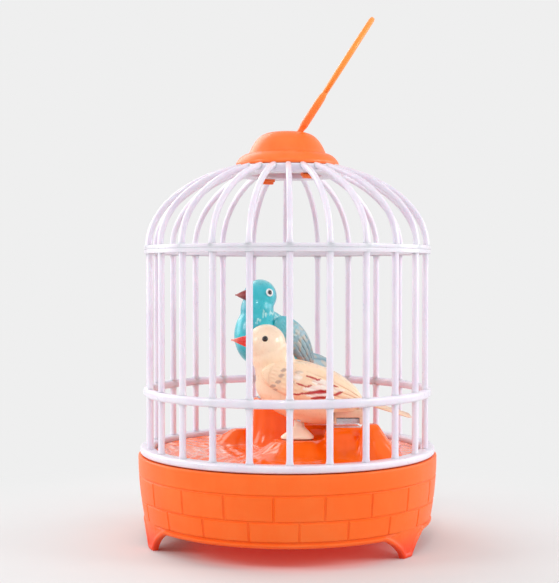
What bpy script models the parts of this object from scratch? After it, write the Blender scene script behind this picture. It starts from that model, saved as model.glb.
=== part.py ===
"""An electronic singing bird cage toy, in metres, +Z up, standing on its three feet at z = 0.

The cage's axis is Z and the photographed front faces -Y. Angles round the cage are in degrees
from the front, positive towards +X. Two birds rock on pins over electromagnets in the rocks.
"""

from dataclasses import dataclass
import math

import bmesh
import bpy
from mathutils import Matrix, Vector

MM = 0.001

# Clearances
GAP = 0.3 * MM
BITE = 0.6 * MM

# Base shell
BASE_RIM_RADIUS = 56.0 * MM
BASE_TOP = 32.7 * MM
BASE_DRAW_IN = 2.6 * MM
SKIRT_EDGE = 7.7 * MM
WALL = 2.0 * MM
LOWER_LEDGE_BOTTOM = 10.1 * MM
LOWER_LEDGE_REACH = 7.6 * MM
LEDGE_THICKNESS = 1.5 * MM
UPPER_LEDGE_DROP = 2.7 * MM
UPPER_LEDGE_REACH = 7.2 * MM
FOOT_COUNT = 3
FOOT_PHASE = 52.5
FOOT_BOTTOM_WIDTH = 5.3 * MM
FOOT_SPREAD_WIDTH = 26.0 * MM
FOOT_SWEEP_STEPS = 5
FOOT_SWEEP_POWER = 1.5
BOSS_INSET = 9.6 * MM
BOSS_RADIUS = 3.2 * MM
BOSS_HEIGHT = 10.0 * MM

# One millimetre of what stands inside the cage or the base and keeps its share of their size
CAGE_UNIT = BASE_RIM_RADIUS / 56.0

# Deck and its rocks
DECK_EDGE_THICKNESS = 2.4 * MM
DECK_STEP = 1.4 * MM
DECK_THICKNESS = 2.2 * MM
ROCK_WALL = 1.3 * MM
ROCK_SIDE_WALL = 1.6 * MM
STUMP_FOOT = Vector((15.0, 14.8)) * CAGE_UNIT
STUMP_CROWN = Vector((13.6, 13.2)) * CAGE_UNIT
PERCH_LEAN = Vector((-2.0, -4.0)) * CAGE_UNIT
PERCH_FOOT = Vector((13.0, 12.0)) * CAGE_UNIT
PERCH_CROWN = Vector((8.8, 7.6)) * CAGE_UNIT
ROCK_LEAN = Vector((1.0, -6.0)) * CAGE_UNIT
ROCK_FOOT = Vector((11.5, 18.5)) * CAGE_UNIT
ROCK_CROWN = Vector((7.8, 9.4)) * CAGE_UNIT
EDGE_ROCK = Vector((32.5, -25.5)) * CAGE_UNIT
EDGE_ROCK_LEAN = Vector((-3.0, 0.5)) * CAGE_UNIT
EDGE_ROCK_FOOT = Vector((7.6, 7.6)) * CAGE_UNIT
EDGE_ROCK_CROWN = Vector((3.0, 3.0)) * CAGE_UNIT
EDGE_ROCK_RISE = 12.0 * MM
SMALL_ROCK = Vector((-24.6, 15.0)) * CAGE_UNIT
SMALL_ROCK_FOOT = Vector((5.0, 4.4)) * CAGE_UNIT
SMALL_ROCK_CROWN = Vector((3.2, 2.8)) * CAGE_UNIT
SMALL_ROCK_RISE = 4.7 * MM

# Cage. The bars stand on a circle inside the base's rim, and the rings lap over it.
BAR_COUNT = 24
BAR_PHASE = 0.9
BAR_WIDTH = 2.3 * MM
BAR_DEPTH = 2.2 * MM
BAR_INSET = 3.8 * MM
FLANGE_LAP_OUT = 3.1 * MM
FLANGE_LAP_IN = 2.3 * MM
FLANGE_HEIGHT = 2.6 * MM
FLANGE_EDGE = 0.8 * MM
RING_LAP_IN = 1.2 * MM
MIDDLE_RING_RISE = 18.8 * MM
MIDDLE_RING_HEIGHT = 3.1 * MM
MIDDLE_RING_LAP_OUT = 1.9 * MM
TOP_RING_RISE = 71.6 * MM
TOP_RING_HEIGHT = 1.3 * MM
TOP_RING_LAP_OUT = 1.6 * MM
DOME_RING_HEIGHT = 1.3 * MM
DOME_LIP = 0.8 * MM
DOME_LAP_OUT = 1.5 * MM
DOME_RISE = 32.7 * MM
RIB_DEPTH = 2.2 * MM
RIB_WIDTH = 2.1 * MM
RIB_STEPS = 7
COLLAR_HEIGHT = 3.2 * MM
COLLAR_SINK = 0.65 * MM
COLLAR_LAP_IN = 2.5 * MM
COLLAR_LAP_OUT = 1.3 * MM

# Cap and handle
CAP_TURN = 3.2
CAP_HEIGHT = 13.1 * MM
CAP_WALL = 1.6 * MM
CAP_CURVE_STEPS = 9
CROWN_POWER = 4.5
BRIM_RADIUS = 19.4 * MM
BRIM_WIDTH = 4.8 * MM
BRIM_RISE = 4.8 * MM
BRIM_NECK = Vector((0.4, 4.6)) * MM
BRIM_FLARE = Vector((3.4, 3.2)) * MM
BRIM_EDGE = 1.4 * MM
BRIM_EDGE_INSIDE = 0.5 * MM
BRIM_WALL_SHARE = 1.3
TAB_ANGLES = (29.0, 209.0)
TAB_WIDTH = 5.3 * MM
TAB_THICKNESS = 1.8 * MM
TAB_ROOT = 2.4 * MM
TAB_HOOK = 1.1 * MM
TAB_HOOK_HEIGHT = 1.6 * MM
PIVOT_BELOW_CAP_TOP = 7.1 * MM
HANDLE_TILT = 32.7
HANDLE_THICKNESS = 2.1 * MM
STEM_THICKNESS = 2.3 * MM
STEM_WIDTH = 5.0 * MM
STEM_LENGTH = 10.7 * MM
NECK_THICKNESS = 3.1 * MM
NECK_WIDTH = 6.4 * MM
NECK_LENGTH = 14.9 * MM
NECK_EDGE = 0.7 * MM
LOOP_LENGTH = 34.7 * MM
LOOP_WIDTH = 25.0 * MM
LOOP_RAIL = 3.8 * MM
LOOP_TIP_SHARE = 1.2
LOOP_STEPS = 10
LOOP_WIDEST = 0.85
LOOP_FULLNESS = 0.75
EYE_RADIUS = 2.9 * MM
HANDLE_PIN_RADIUS = 1.0 * MM
LUG_THICKNESS = 2.0 * MM

# Cells, and the battery bay round them in the bottom cover
CELL_RADIUS = 7.1 * MM
CELL_LENGTH = 50.5 * MM
CELL_NUB_LENGTH = 1.2 * MM
CELL_NUB_RADIUS = 2.6 * MM
CELL_EDGE = 0.5 * MM
CELL_SIDE_ROOM = 0.75 * MM
CELL_END_ROOM = 0.4 * MM
CELL_TOP_ROOM = 1.1 * MM
CONTACT_THICKNESS = 0.5 * MM
CONTACT_HEIGHT_SHARE = 0.8
CONTACT_WIDTH_SHARE = 0.7
SPRING_LENGTH = 3.9 * MM
SPRING_WIDE = 4.2 * MM
SPRING_NARROW = 2.4 * MM
SPRING_BORE = 1.6 * MM
COVER_THICKNESS = 1.5 * MM
BATTERY_BAY_Y = 17.0 * CAGE_UNIT
BAY_WALL = 1.4 * MM
DOOR_EAR_LENGTH = 7.2 * MM
DOOR_EAR_HALF_WIDTH = 3.0 * MM
DOOR_EAR_THICKNESS = 1.0 * MM
DOOR_BOSS_RADIUS = 3.0 * MM
DOOR_BOSS_DROP = 4.0 * MM
DOOR_SCREW_X = 24.0 * CAGE_UNIT
DOOR_SCREW_INSET = 5.2 * MM
DOOR_SCREW_LENGTH = 9.0 * MM

# Speaker
SPEAKER_Y = -25.5 * CAGE_UNIT
SPEAKER_RADIUS = 18.0 * MM
SPEAKER_HEIGHT = 5.5 * MM
SPEAKER_RIM_HEIGHT = 1.0 * MM
SPEAKER_RIM_WIDTH = 2.4 * MM
SPEAKER_CUP_RADIUS = 9.4 * MM
SPEAKER_CUP_WALL = 0.8 * MM
SPEAKER_MAGNET_INSET = 1.0 * MM
SPEAKER_MAGNET_HEIGHT = 3.4 * MM
SPEAKER_SEAT_HEIGHT = 2.2 * MM
CONE_RADIUS = 8.0 * MM
CONE_THICKNESS = 0.6 * MM
SPEAKER_HOLE_COUNT = 8
SPEAKER_HOLE_RADIUS = 1.2 * MM
SPEAKER_HOLE_CIRCLE = 8.0 * MM

# Board, with its chip under a drop of resin, and the microphone
BOARD_LENGTH = 46.0 * MM
BOARD_WIDTH = 30.0 * MM
BOARD_THICKNESS = 1.6 * MM
BOARD_BOTTOM = 21.6 * MM
BOARD_HOLE_INSET = 3.0 * MM
POST_RADIUS = 2.4 * MM
CHIP_RADIUS = 5.5 * MM
CHIP_HEIGHT = 1.6 * MM
CHIP_OFFSET = Vector((6.0, -2.0)) * MM
MICROPHONE_RADIUS = 3.0 * MM
MICROPHONE_HEIGHT = 4.6 * MM
MICROPHONE_OFFSET = Vector((-12.0, -6.0)) * MM

# Switch
SWITCH_Y = -4.0 * CAGE_UNIT
SWITCH_WIDTH = 6.4 * MM
SWITCH_LENGTH = 13.0 * MM
SWITCH_HEIGHT = 5.0 * MM
SWITCH_WELL = 3.4 * MM
SWITCH_ROOM = 1.9 * MM
SWITCH_TRAVEL = 3.0 * MM
KNOB_WIDTH = 3.0 * MM
KNOB_LENGTH = 3.6 * MM
KNOB_DROP = 1.2 * MM

# Screws
CASE_SCREW_RADIUS = 1.2 * MM
CASE_SCREW_HEAD = 2.3 * MM
CAGE_SCREW_COUNT = 4
CAGE_SCREW_RADIUS = 0.9 * MM
CAGE_SCREW_HEAD = 1.62 * MM
CAGE_SCREW_INSET = 0.4 * MM
BOARD_SCREW_LENGTH = 7.0 * MM
SCREW_HEAD_HEIGHT = 1.2 * MM
SCREW_POINT_SHARE = 0.6
SCREW_HEAD_FACE_SHARE = 0.8
CROSS_REACH = 0.75
CROSS_HALF_WIDTH = 0.16

# Electromagnets and the steel bars over them
MAGNET_LENGTH = 8.0 * MM
MAGNET_HEIGHT = 1.75 * MM
MAGNET_WIDTH = 7.0 * MM
MAGNET_GAP = 2.0 * MM
BAR_FRAME_FRONT = 1.1 * MM
BAR_FRAME_BACK = 1.7 * MM
BAR_FRAME_HEIGHT = 5.5 * MM
BOBBIN_RADIUS = 4.6 * MM
BOBBIN_HEIGHT = 7.4 * MM
BOBBIN_FLANGE = 0.8 * MM
CORE_RADIUS = 1.5 * MM
CORE_TAIL = 1.0 * MM

# What both birds share
PIN_RADIUS = 0.8 * MM
PIN_SHARE = 0.4
PIN_HOLE_SHARE = 1.2
BEAK_ROOT_SHARE = 0.4
BEAK_TIP_RADIUS = 0.3 * MM
TAIL_THICKNESS = 1.3 * MM
TAIL_NOTCH = 5.0 * MM
TAIL_STRAIGHT_SHARE = 0.35
LEG_WIDTH = 3.0 * MM
LEG_LENGTH = 4.0 * MM
LEG_SLOT_DEPTH = 6.0 * MM
BIRD_FOOT_THICKNESS = 1.44 * MM
BIRD_FOOT_LENGTH = 12.4 * MM
BIRD_FOOT_WIDTH = 8.0 * MM
BIRD_FOOT_FRONT_SHARE = 0.55

# Steps round a full turn
FINE_STEPS = 48
RING_STEPS = 48
CAP_STEPS = 28
SPEAKER_STEPS = 24
HALF_STEP = 180 / FINE_STEPS
SMALL_STEPS = 12

# Colours, roughness and metallic value
ORANGE = ((1.0, 0.165, 0.03), 0.35, 0.0)
LAVENDER_WHITE = ((0.82, 0.79, 0.88), 0.4, 0.0)
CREAM = ((0.95, 0.73, 0.47), 0.3, 0.0)
TEAL = ((0.04, 0.45, 0.58), 0.3, 0.0)
RED = ((0.75, 0.05, 0.04), 0.35, 0.0)
MAROON = ((0.3, 0.03, 0.04), 0.35, 0.0)
STEEL = ((0.62, 0.62, 0.64), 0.3, 1.0)
COPPER = ((0.75, 0.32, 0.14), 0.4, 1.0)
BLACK = ((0.03, 0.03, 0.03), 0.5, 0.0)
BOARD_GREEN = ((0.04, 0.22, 0.08), 0.5, 0.0)
CELL_BLUE = ((0.06, 0.13, 0.4), 0.35, 0.0)
PAPER_GREY = ((0.2, 0.2, 0.2), 0.9, 0.0)


# Radii that follow the base's rim
LOWER_LEDGE_RADIUS = BASE_RIM_RADIUS - LOWER_LEDGE_REACH
UPPER_LEDGE_RADIUS = BASE_RIM_RADIUS - UPPER_LEDGE_REACH
BOSS_CIRCLE = BASE_RIM_RADIUS - BOSS_INSET
BAR_CIRCLE = BASE_RIM_RADIUS - BAR_INSET
FLANGE_OUTER = BAR_CIRCLE + FLANGE_LAP_OUT
FLANGE_INNER = BAR_CIRCLE - FLANGE_LAP_IN
RING_INNER = BAR_CIRCLE - RING_LAP_IN
MIDDLE_RING_OUTER = BAR_CIRCLE + MIDDLE_RING_LAP_OUT
TOP_RING_OUTER = BAR_CIRCLE + TOP_RING_LAP_OUT
DOME_RADIUS = BAR_CIRCLE + DOME_LAP_OUT
CAGE_SCREW_CIRCLE = BAR_CIRCLE - CAGE_SCREW_INSET

# Radii that follow the cap's brim
RIB_END_RADIUS = BRIM_RADIUS + 2 * GAP
COLLAR_INNER = BRIM_RADIUS - COLLAR_LAP_IN
COLLAR_OUTER = RIB_END_RADIUS + COLLAR_LAP_OUT
CROWN_RADIUS = BRIM_RADIUS - BRIM_WIDTH

# Heights, from the base upwards
UPPER_LEDGE_TOP = BASE_TOP - UPPER_LEDGE_DROP
UPPER_LEDGE_BOTTOM = UPPER_LEDGE_TOP - LEDGE_THICKNESS
DECK_BOTTOM = UPPER_LEDGE_TOP + GAP
DECK_EDGE_TOP = DECK_BOTTOM + DECK_EDGE_THICKNESS
DECK_TOP = DECK_EDGE_TOP + DECK_STEP
FLANGE_BOTTOM = max(BASE_TOP, DECK_EDGE_TOP) + GAP
FLANGE_TOP = FLANGE_BOTTOM + FLANGE_HEIGHT
MIDDLE_RING_BOTTOM = FLANGE_TOP + MIDDLE_RING_RISE
TOP_RING_BOTTOM = FLANGE_TOP + TOP_RING_RISE
TOP_RING_TOP = TOP_RING_BOTTOM + TOP_RING_HEIGHT
DOME_RING_BOTTOM = TOP_RING_TOP + GAP
DOME_SPRING = DOME_RING_BOTTOM + DOME_RING_HEIGHT
RIB_END_RISE = DOME_RISE * math.sqrt(1 - (RIB_END_RADIUS / DOME_RADIUS) ** 2)
COLLAR_TOP = DOME_SPRING + RIB_END_RISE - COLLAR_SINK
COLLAR_BOTTOM = COLLAR_TOP - COLLAR_HEIGHT
BRIM_BOTTOM = COLLAR_TOP + GAP
CAP_TOP = BRIM_BOTTOM + CAP_HEIGHT
HANDLE_PIVOT = Vector((0, 0, CAP_TOP - PIVOT_BELOW_CAP_TOP))

# The bottom cover and what stands on it
COVER_TOP = LOWER_LEDGE_BOTTOM - GAP
COVER_BOTTOM = COVER_TOP - COVER_THICKNESS
SPRING_SPACE = 2 * GAP + CONTACT_THICKNESS + SPRING_LENGTH
BAY_LENGTH = SPRING_SPACE + CELL_LENGTH + 2 * GAP + CONTACT_THICKNESS + CELL_END_ROOM
BAY_WIDTH = 4 * (CELL_RADIUS + CELL_SIDE_ROOM)
BAY_DEPTH = 2 * CELL_RADIUS + GAP + CELL_TOP_ROOM
BAY_TOP = COVER_TOP + BAY_DEPTH
DOOR_SCREW_Y = BATTERY_BAY_Y - BAY_WIDTH / 2 - DOOR_SCREW_INSET
DOOR_BOSS_TOP = BAY_TOP - DOOR_BOSS_DROP
SWITCH_X = -(BAY_LENGTH / 2 + BAY_WALL + SWITCH_ROOM + SWITCH_WIDTH / 2)
BOARD_TOP = BOARD_BOTTOM + BOARD_THICKNESS


def over_deck(x, y, rise):
    """A point inside the cage, in cage units, with its height over the deck."""
    return Vector((x, y, rise)) * CAGE_UNIT + Vector((0, 0, DECK_TOP))


@dataclass
class Bird:
    """One bird. Lengths are in its own frame: origin on its rocking pin, +X to the tail, +Z up."""

    name: str
    place: Vector
    heading: float
    body_finish: tuple
    beak_finish: tuple
    body_centre: Vector
    body_radii: Vector
    body_tilt: float
    neck_centre: Vector
    neck_radii: Vector
    head_centre: Vector
    head_radius: float
    beak_tip: Vector
    beak_radius: float
    wing_centre: Vector
    wing_radii: Vector
    wing_tilt: float
    tail_root: Vector
    tail_length: float
    tail_slope: float
    tail_root_width: float
    tail_tip_width: float
    magnet_x: float
    rock_top: float


CREAM_BIRD = Bird(
    name="cream_bird",
    place=over_deck(4.3, -12.0, 12.5),
    heading=0.0,
    body_finish=CREAM,
    beak_finish=RED,
    body_centre=Vector((2.0, 0.0, 9.6)) * CAGE_UNIT,
    body_radii=Vector((21.0, 10.2, 11.0)) * CAGE_UNIT,
    body_tilt=14.0,
    neck_centre=Vector((-9.5, 0.0, 18.0)) * CAGE_UNIT,
    neck_radii=Vector((8.0, 7.4, 11.0)) * CAGE_UNIT,
    head_centre=Vector((-12.1, 0.0, 27.4)) * CAGE_UNIT,
    head_radius=7.3 * CAGE_UNIT,
    beak_tip=Vector((-25.0, 0.0, 29.0)) * CAGE_UNIT,
    beak_radius=2.4 * CAGE_UNIT,
    wing_centre=Vector((4.5, 10.4, 12.2)) * CAGE_UNIT,
    wing_radii=Vector((19.0, 2.6, 6.6)) * CAGE_UNIT,
    wing_tilt=15.0,
    tail_root=Vector((16.5, 0.0, 8.8)) * CAGE_UNIT,
    tail_length=25.8 * CAGE_UNIT,
    tail_slope=17.0,
    tail_root_width=7.0 * CAGE_UNIT,
    tail_tip_width=12.0 * CAGE_UNIT,
    magnet_x=17.8 * CAGE_UNIT,
    rock_top=DECK_TOP + 9.0 * CAGE_UNIT,
)

BLUE_BIRD = Bird(
    name="blue_bird",
    place=over_deck(-5.0, 12.5, 21.0),
    heading=42.0,
    body_finish=TEAL,
    beak_finish=MAROON,
    body_centre=Vector((1.5, 0.0, 15.5)) * CAGE_UNIT,
    body_radii=Vector((19.0, 9.6, 10.3)) * CAGE_UNIT,
    body_tilt=50.0,
    neck_centre=Vector((-8.2, 0.0, 23.2)) * CAGE_UNIT,
    neck_radii=Vector((9.3, 8.9, 13.3)) * CAGE_UNIT,
    head_centre=Vector((-7.4, 0.0, 36.2)) * CAGE_UNIT,
    head_radius=6.5 * CAGE_UNIT,
    beak_tip=Vector((-19.6, 0.0, 36.9)) * CAGE_UNIT,
    beak_radius=2.4 * CAGE_UNIT,
    wing_centre=Vector((2.8, 9.6, 18.2)) * CAGE_UNIT,
    wing_radii=Vector((13.5, 2.6, 5.6)) * CAGE_UNIT,
    wing_tilt=42.0,
    tail_root=Vector((8.5, 0.0, 15.6)) * CAGE_UNIT,
    tail_length=20.0 * CAGE_UNIT,
    tail_slope=13.0,
    tail_root_width=6.0 * CAGE_UNIT,
    tail_tip_width=9.0 * CAGE_UNIT,
    magnet_x=12.0 * CAGE_UNIT,
    rock_top=DECK_TOP + 17.5 * CAGE_UNIT,
)

CREAM_LEG_HEIGHT = 7.3 * CAGE_UNIT
BLUE_LEG_HEIGHT = BLUE_BIRD.place.z - BLUE_BIRD.rock_top - GAP


def clear_scene():
    for obj in list(bpy.data.objects):
        bpy.data.objects.remove(obj)


def collection(name):
    made = bpy.data.collections.new(name)
    bpy.context.scene.collection.children.link(made)
    return made


clear_scene()
PARTS = collection("singing_bird_cage")
CUTTERS = collection("cutters")


def material(name, finish):
    """A Principled material from (colour, roughness, metallic)."""
    colour, roughness, metallic = finish
    made = bpy.data.materials.new(name)
    made.use_nodes = True
    shader = made.node_tree.nodes["Principled BSDF"]
    shader.inputs["Base Color"].default_value = (*colour, 1.0)
    shader.inputs["Roughness"].default_value = roughness
    shader.inputs["Metallic"].default_value = metallic
    return made


def as_part(obj, finish, parent=None):
    """Makes the shape a sub-part of the object, carried by its parent empty if it has one."""
    PARTS.objects.link(obj)
    obj.parent = parent
    obj.data.materials.append(material(f"{obj.name}_finish", finish))
    return obj


def as_helper(obj, parent):
    CUTTERS.objects.link(obj)
    obj.parent = parent
    obj.hide_render = True
    obj.display_type = "WIRE"
    return obj


def combine(target, tool, operation):
    if tool.name not in CUTTERS.objects:
        as_helper(tool, target.parent)
    modifier = target.modifiers.new(f"{operation.lower()} {tool.name}", "BOOLEAN")
    modifier.operation = operation
    modifier.object = tool
    return target


def cut(target, *tools):
    for tool in tools:
        combine(target, tool, "DIFFERENCE")
    return target


def join(target, *tools):
    for tool in tools:
        combine(target, tool, "UNION")
    return target


def mesh_object(name, shape):
    """An object from a bmesh, not yet in a collection."""
    mesh = bpy.data.meshes.new(name)
    shape.to_mesh(mesh)
    shape.free()
    mesh.shade_smooth()
    mesh.set_sharp_from_angle(angle=math.radians(35))
    return bpy.data.objects.new(name, mesh)


def box(name, low, high):
    """A box between two corners."""
    low, high = Vector(low), Vector(high)
    shape = bmesh.new()
    bmesh.ops.create_cube(shape, size=1)
    bmesh.ops.scale(shape, vec=high - low, verts=shape.verts)
    bmesh.ops.translate(shape, vec=(low + high) / 2, verts=shape.verts)
    return mesh_object(name, shape)


def rod(name, radius, start, end, sides=SMALL_STEPS, end_radius=None):
    """A round rod, or a cone where end_radius differs, between two points."""
    start, end = Vector(start), Vector(end)
    along = end - start
    shape = bmesh.new()
    bmesh.ops.create_cone(
        shape,
        cap_ends=True,
        segments=sides,
        radius1=radius,
        radius2=radius if end_radius is None else end_radius,
        depth=along.length,
    )
    turn = Vector((0, 0, 1)).rotation_difference(along).to_matrix().to_4x4()
    bmesh.ops.transform(shape, matrix=Matrix.Translation((start + end) / 2) @ turn, verts=shape.verts)
    return mesh_object(name, shape)


def mound(name, foot, base_radii, crown, crown_radii, low, high, sides=12):
    """An oval foot at low, and an oval crown at high that may lie to one side."""
    shape = bmesh.new()
    bmesh.ops.create_cone(shape, cap_ends=True, segments=sides, radius1=1, radius2=1, depth=2)
    for vert in shape.verts:
        centre, radii, z = (crown, crown_radii, high) if vert.co.z > 0 else (foot, base_radii, low)
        vert.co = Vector((centre[0] + vert.co.x * radii[0], centre[1] + vert.co.y * radii[1], z))
    return mesh_object(name, shape)


def ellipsoid(name, centre, radii, tilt, grow=0.0, segments=16, rings=10):
    """An ellipsoid whose +X end dips by tilt degrees; grow adds to its radii."""
    shape = bmesh.new()
    bmesh.ops.create_uvsphere(shape, u_segments=segments, v_segments=rings, radius=1)
    size = Matrix.Diagonal(Vector(r + grow for r in radii)).to_4x4()
    turn = Matrix.Rotation(math.radians(tilt), 4, "Y")
    matrix = Matrix.Translation(centre) @ turn @ size
    bmesh.ops.transform(shape, matrix=matrix, verts=shape.verts)
    return mesh_object(name, shape)


def turned(name, profile, steps=FINE_STEPS, closed=False):
    """A solid turned about Z from (radius, z) points that run down its outer side."""
    mesh = bpy.data.meshes.new(name)
    points = [(radius, 0.0, z) for radius, z in profile]
    edges = [(i, i + 1) for i in range(len(points) - 1)]
    if closed:
        edges.append((len(points) - 1, 0))
    mesh.from_pydata(points, edges, [])
    obj = bpy.data.objects.new(name, mesh)
    screw = obj.modifiers.new("turn", "SCREW")
    screw.axis = "Z"
    screw.steps = steps
    screw.render_steps = steps
    screw.use_merge_vertices = True
    screw.merge_threshold = 1e-5
    screw.use_smooth_shade = True
    return obj


def ring(name, inner, outer, bottom, top, steps=FINE_STEPS, edge=0.0):
    """A turned ring, with its outer edges taken off by edge."""
    if edge:
        outside = [
            (outer - edge, top),
            (outer, top - edge),
            (outer, bottom + edge),
            (outer - edge, bottom),
        ]
    else:
        outside = [(outer, top), (outer, bottom)]
    return turned(name, [*outside, (inner, bottom), (inner, top)], steps, closed=True)


def flat_piece(name, outlines, thickness, matrix):
    """A flat piece from outlines in its own XY plane, placed by matrix."""
    curve = bpy.data.curves.new(name, "CURVE")
    curve.dimensions = "2D"
    curve.fill_mode = "BOTH"
    curve.extrude = thickness / 2
    for outline in outlines:
        spline = curve.splines.new("POLY")
        spline.points.add(len(outline) - 1)
        for point, (x, y) in zip(spline.points, outline):
            point.co = (x, y, 0.0, 1.0)
        spline.use_cyclic_u = True
    guide = bpy.data.objects.new(f"{name} outline", curve)
    bpy.context.scene.collection.objects.link(guide)
    bpy.context.view_layer.update()
    graph = bpy.context.evaluated_depsgraph_get()
    mesh = bpy.data.meshes.new_from_object(guide.evaluated_get(graph))
    bpy.data.objects.remove(guide)
    shape = bmesh.new()
    shape.from_mesh(mesh)
    bpy.data.meshes.remove(mesh)
    bmesh.ops.remove_doubles(shape, verts=shape.verts, dist=1e-6)
    bmesh.ops.transform(shape, matrix=matrix, verts=shape.verts)
    return mesh_object(name, shape)


def merged(name, objects):
    """Several shapes that don't touch, as one mesh."""
    shape = bmesh.new()
    for obj in objects:
        shape.from_mesh(obj.data)
    return mesh_object(name, shape)


def around(radius, angle, z=0.0):
    """A point at this angle from the front."""
    turn = math.radians(angle)
    return Vector((radius * math.sin(turn), -radius * math.cos(turn), z))


def turn_to(angle):
    """Turns what faces the front to this angle."""
    return Matrix.Rotation(math.radians(angle), 4, "Z")


def turned_copy(name, obj, matrix):
    mesh = obj.data.copy()
    mesh.transform(matrix)
    return bpy.data.objects.new(name, mesh)


def empty(name, place, turn=Matrix.Identity(4)):
    made = bpy.data.objects.new(name, None)
    made.empty_display_size = 5 * MM
    made.matrix_world = Matrix.Translation(place) @ turn
    PARTS.objects.link(made)
    return made


# Screws


def screw(name, point, head_radius, shaft_radius, length):
    """A screw driven upwards: point is under its head."""
    profile = [
        (0, length),
        (shaft_radius * SCREW_POINT_SHARE, length),
        (shaft_radius, length - shaft_radius),
        (shaft_radius, SCREW_HEAD_HEIGHT),
        (head_radius, SCREW_HEAD_HEIGHT),
        (head_radius, SCREW_HEAD_HEIGHT / 2),
        (head_radius * SCREW_HEAD_FACE_SHARE, 0),
        (0, 0),
    ]
    made = as_part(turned(name, profile, SMALL_STEPS), STEEL)
    made.location = point
    return made


def recess(made, head_radius):
    """The cross recess under a screw's head."""
    reach = head_radius * CROSS_REACH
    half = head_radius * CROSS_HALF_WIDTH
    corners = [(reach, -half), (reach, half), (half, half), (half, reach)]
    outline = []
    for quarter in range(4):
        turn = Matrix.Rotation(math.pi / 2 * quarter, 2)
        outline += [tuple(turn @ Vector(corner)) for corner in corners[:3]]
    cross = flat_piece(f"{made.name} cross", [outline], SCREW_HEAD_HEIGHT, Matrix.Identity(4))
    cross.location = made.location
    return cut(made, cross)


# Base shell


def base_outer(z):
    """The base's outer radius at a height: it draws in towards the skirt's edge."""
    share = min(1.0, (BASE_TOP - z) / (BASE_TOP - SKIRT_EDGE))
    return BASE_RIM_RADIUS - BASE_DRAW_IN * share**2


def base_inner(z):
    return base_outer(z) - WALL


def heights(top, bottom, steps):
    return [top + (bottom - top) * i / steps for i in range(steps + 1)]


def foot_angles():
    return [FOOT_PHASE + 360 / FOOT_COUNT * i for i in range(FOOT_COUNT)]


def foot_outline():
    """A foot seen from outside: a narrow bottom whose sides sweep out into the skirt's edge."""
    sweep = []
    for i in range(FOOT_SWEEP_STEPS + 1):
        turn = math.pi / 2 * i / FOOT_SWEEP_STEPS
        reach = (FOOT_SPREAD_WIDTH - FOOT_BOTTOM_WIDTH) / 2 * math.sin(turn) ** FOOT_SWEEP_POWER
        x = FOOT_SPREAD_WIDTH / 2 - reach
        y = (SKIRT_EDGE + BITE / 2) * max(0.0, math.cos(turn)) ** FOOT_SWEEP_POWER
        sweep.append((x, y))
    left = [(-x, y) for x, y in reversed(sweep)]
    top = SKIRT_EDGE + WALL
    bottom = -WALL
    half = FOOT_BOTTOM_WIDTH / 2
    tall = [(FOOT_SPREAD_WIDTH / 2, top), *sweep, (half, bottom)]
    return [*tall, (-half, bottom), *left, (-FOOT_SPREAD_WIDTH / 2, top)]


def skirt_cutter():
    """What is taken from under the skirt's edge: a thick ring less the three feet."""
    reach = BASE_RIM_RADIUS + WALL
    inside = base_inner(0) - 4 * WALL
    under = ring("skirt cutter", inside, reach, -WALL, SKIRT_EDGE)
    under.data.transform(turn_to(HALF_STEP))
    depth = reach - inside
    for number, angle in enumerate(foot_angles(), 1):
        middle = around((reach + inside) / 2, angle)
        upright = Matrix.Rotation(math.pi / 2, 4, "X")
        matrix = Matrix.Translation(middle) @ turn_to(angle) @ upright
        foot = flat_piece(f"foot outline {number}", [foot_outline()], depth * 2, matrix)
        cut(under, foot)
    return under


def build_base_shell():
    lower_top = LOWER_LEDGE_BOTTOM + LEDGE_THICKNESS
    outside = [(base_outer(z), z) for z in heights(BASE_TOP, SKIRT_EDGE + BITE, 4)]
    inside = [(base_inner(z), z) for z in heights(lower_top, UPPER_LEDGE_BOTTOM, 2)]
    profile = [
        *outside,
        (base_outer(0), 0),
        (base_inner(0), 0),
        (base_inner(LOWER_LEDGE_BOTTOM), LOWER_LEDGE_BOTTOM),
        (LOWER_LEDGE_RADIUS, LOWER_LEDGE_BOTTOM),
        (LOWER_LEDGE_RADIUS, lower_top),
        *inside,
        (UPPER_LEDGE_RADIUS, UPPER_LEDGE_BOTTOM),
        (UPPER_LEDGE_RADIUS, UPPER_LEDGE_TOP),
        (base_inner(UPPER_LEDGE_TOP), UPPER_LEDGE_TOP),
        (base_inner(BASE_TOP), BASE_TOP),
    ]
    shell = as_part(turned("base_shell", profile, closed=True), ORANGE)
    cut(shell, skirt_cutter())
    boss_top = LOWER_LEDGE_BOTTOM + BOSS_HEIGHT
    for number, angle in enumerate(foot_angles(), 1):
        foot = around(BOSS_CIRCLE, angle, LOWER_LEDGE_BOTTOM)
        head = around(BOSS_CIRCLE, angle, boss_top)
        join(shell, rod(f"boss {number}", BOSS_RADIUS, foot, head, sides=12))
        reach = base_inner(boss_top) + BITE
        web = box(
            f"boss web {number}",
            (-WALL / 2, -reach, LOWER_LEDGE_BOTTOM + BITE),
            (WALL / 2, -BOSS_CIRCLE, boss_top - BITE),
        )
        web.data.transform(turn_to(angle))
        join(shell, web)
        hole = CASE_SCREW_RADIUS + GAP
        below = around(BOSS_CIRCLE, angle, LOWER_LEDGE_BOTTOM - WALL)
        cut(shell, rod(f"boss hole {number}", hole, below, head - Vector((0, 0, WALL)), sides=12))
    for number, angle in enumerate(cage_screw_angles(), 1):
        cut(shell, cage_screw_hole(f"ledge hole {number}", angle, UPPER_LEDGE_TOP + WALL / 2))
    return shell


def cage_screw_angles():
    first = BAR_PHASE + 180 / BAR_COUNT
    return [first + 360 / CAGE_SCREW_COUNT * i for i in range(CAGE_SCREW_COUNT)]


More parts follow.
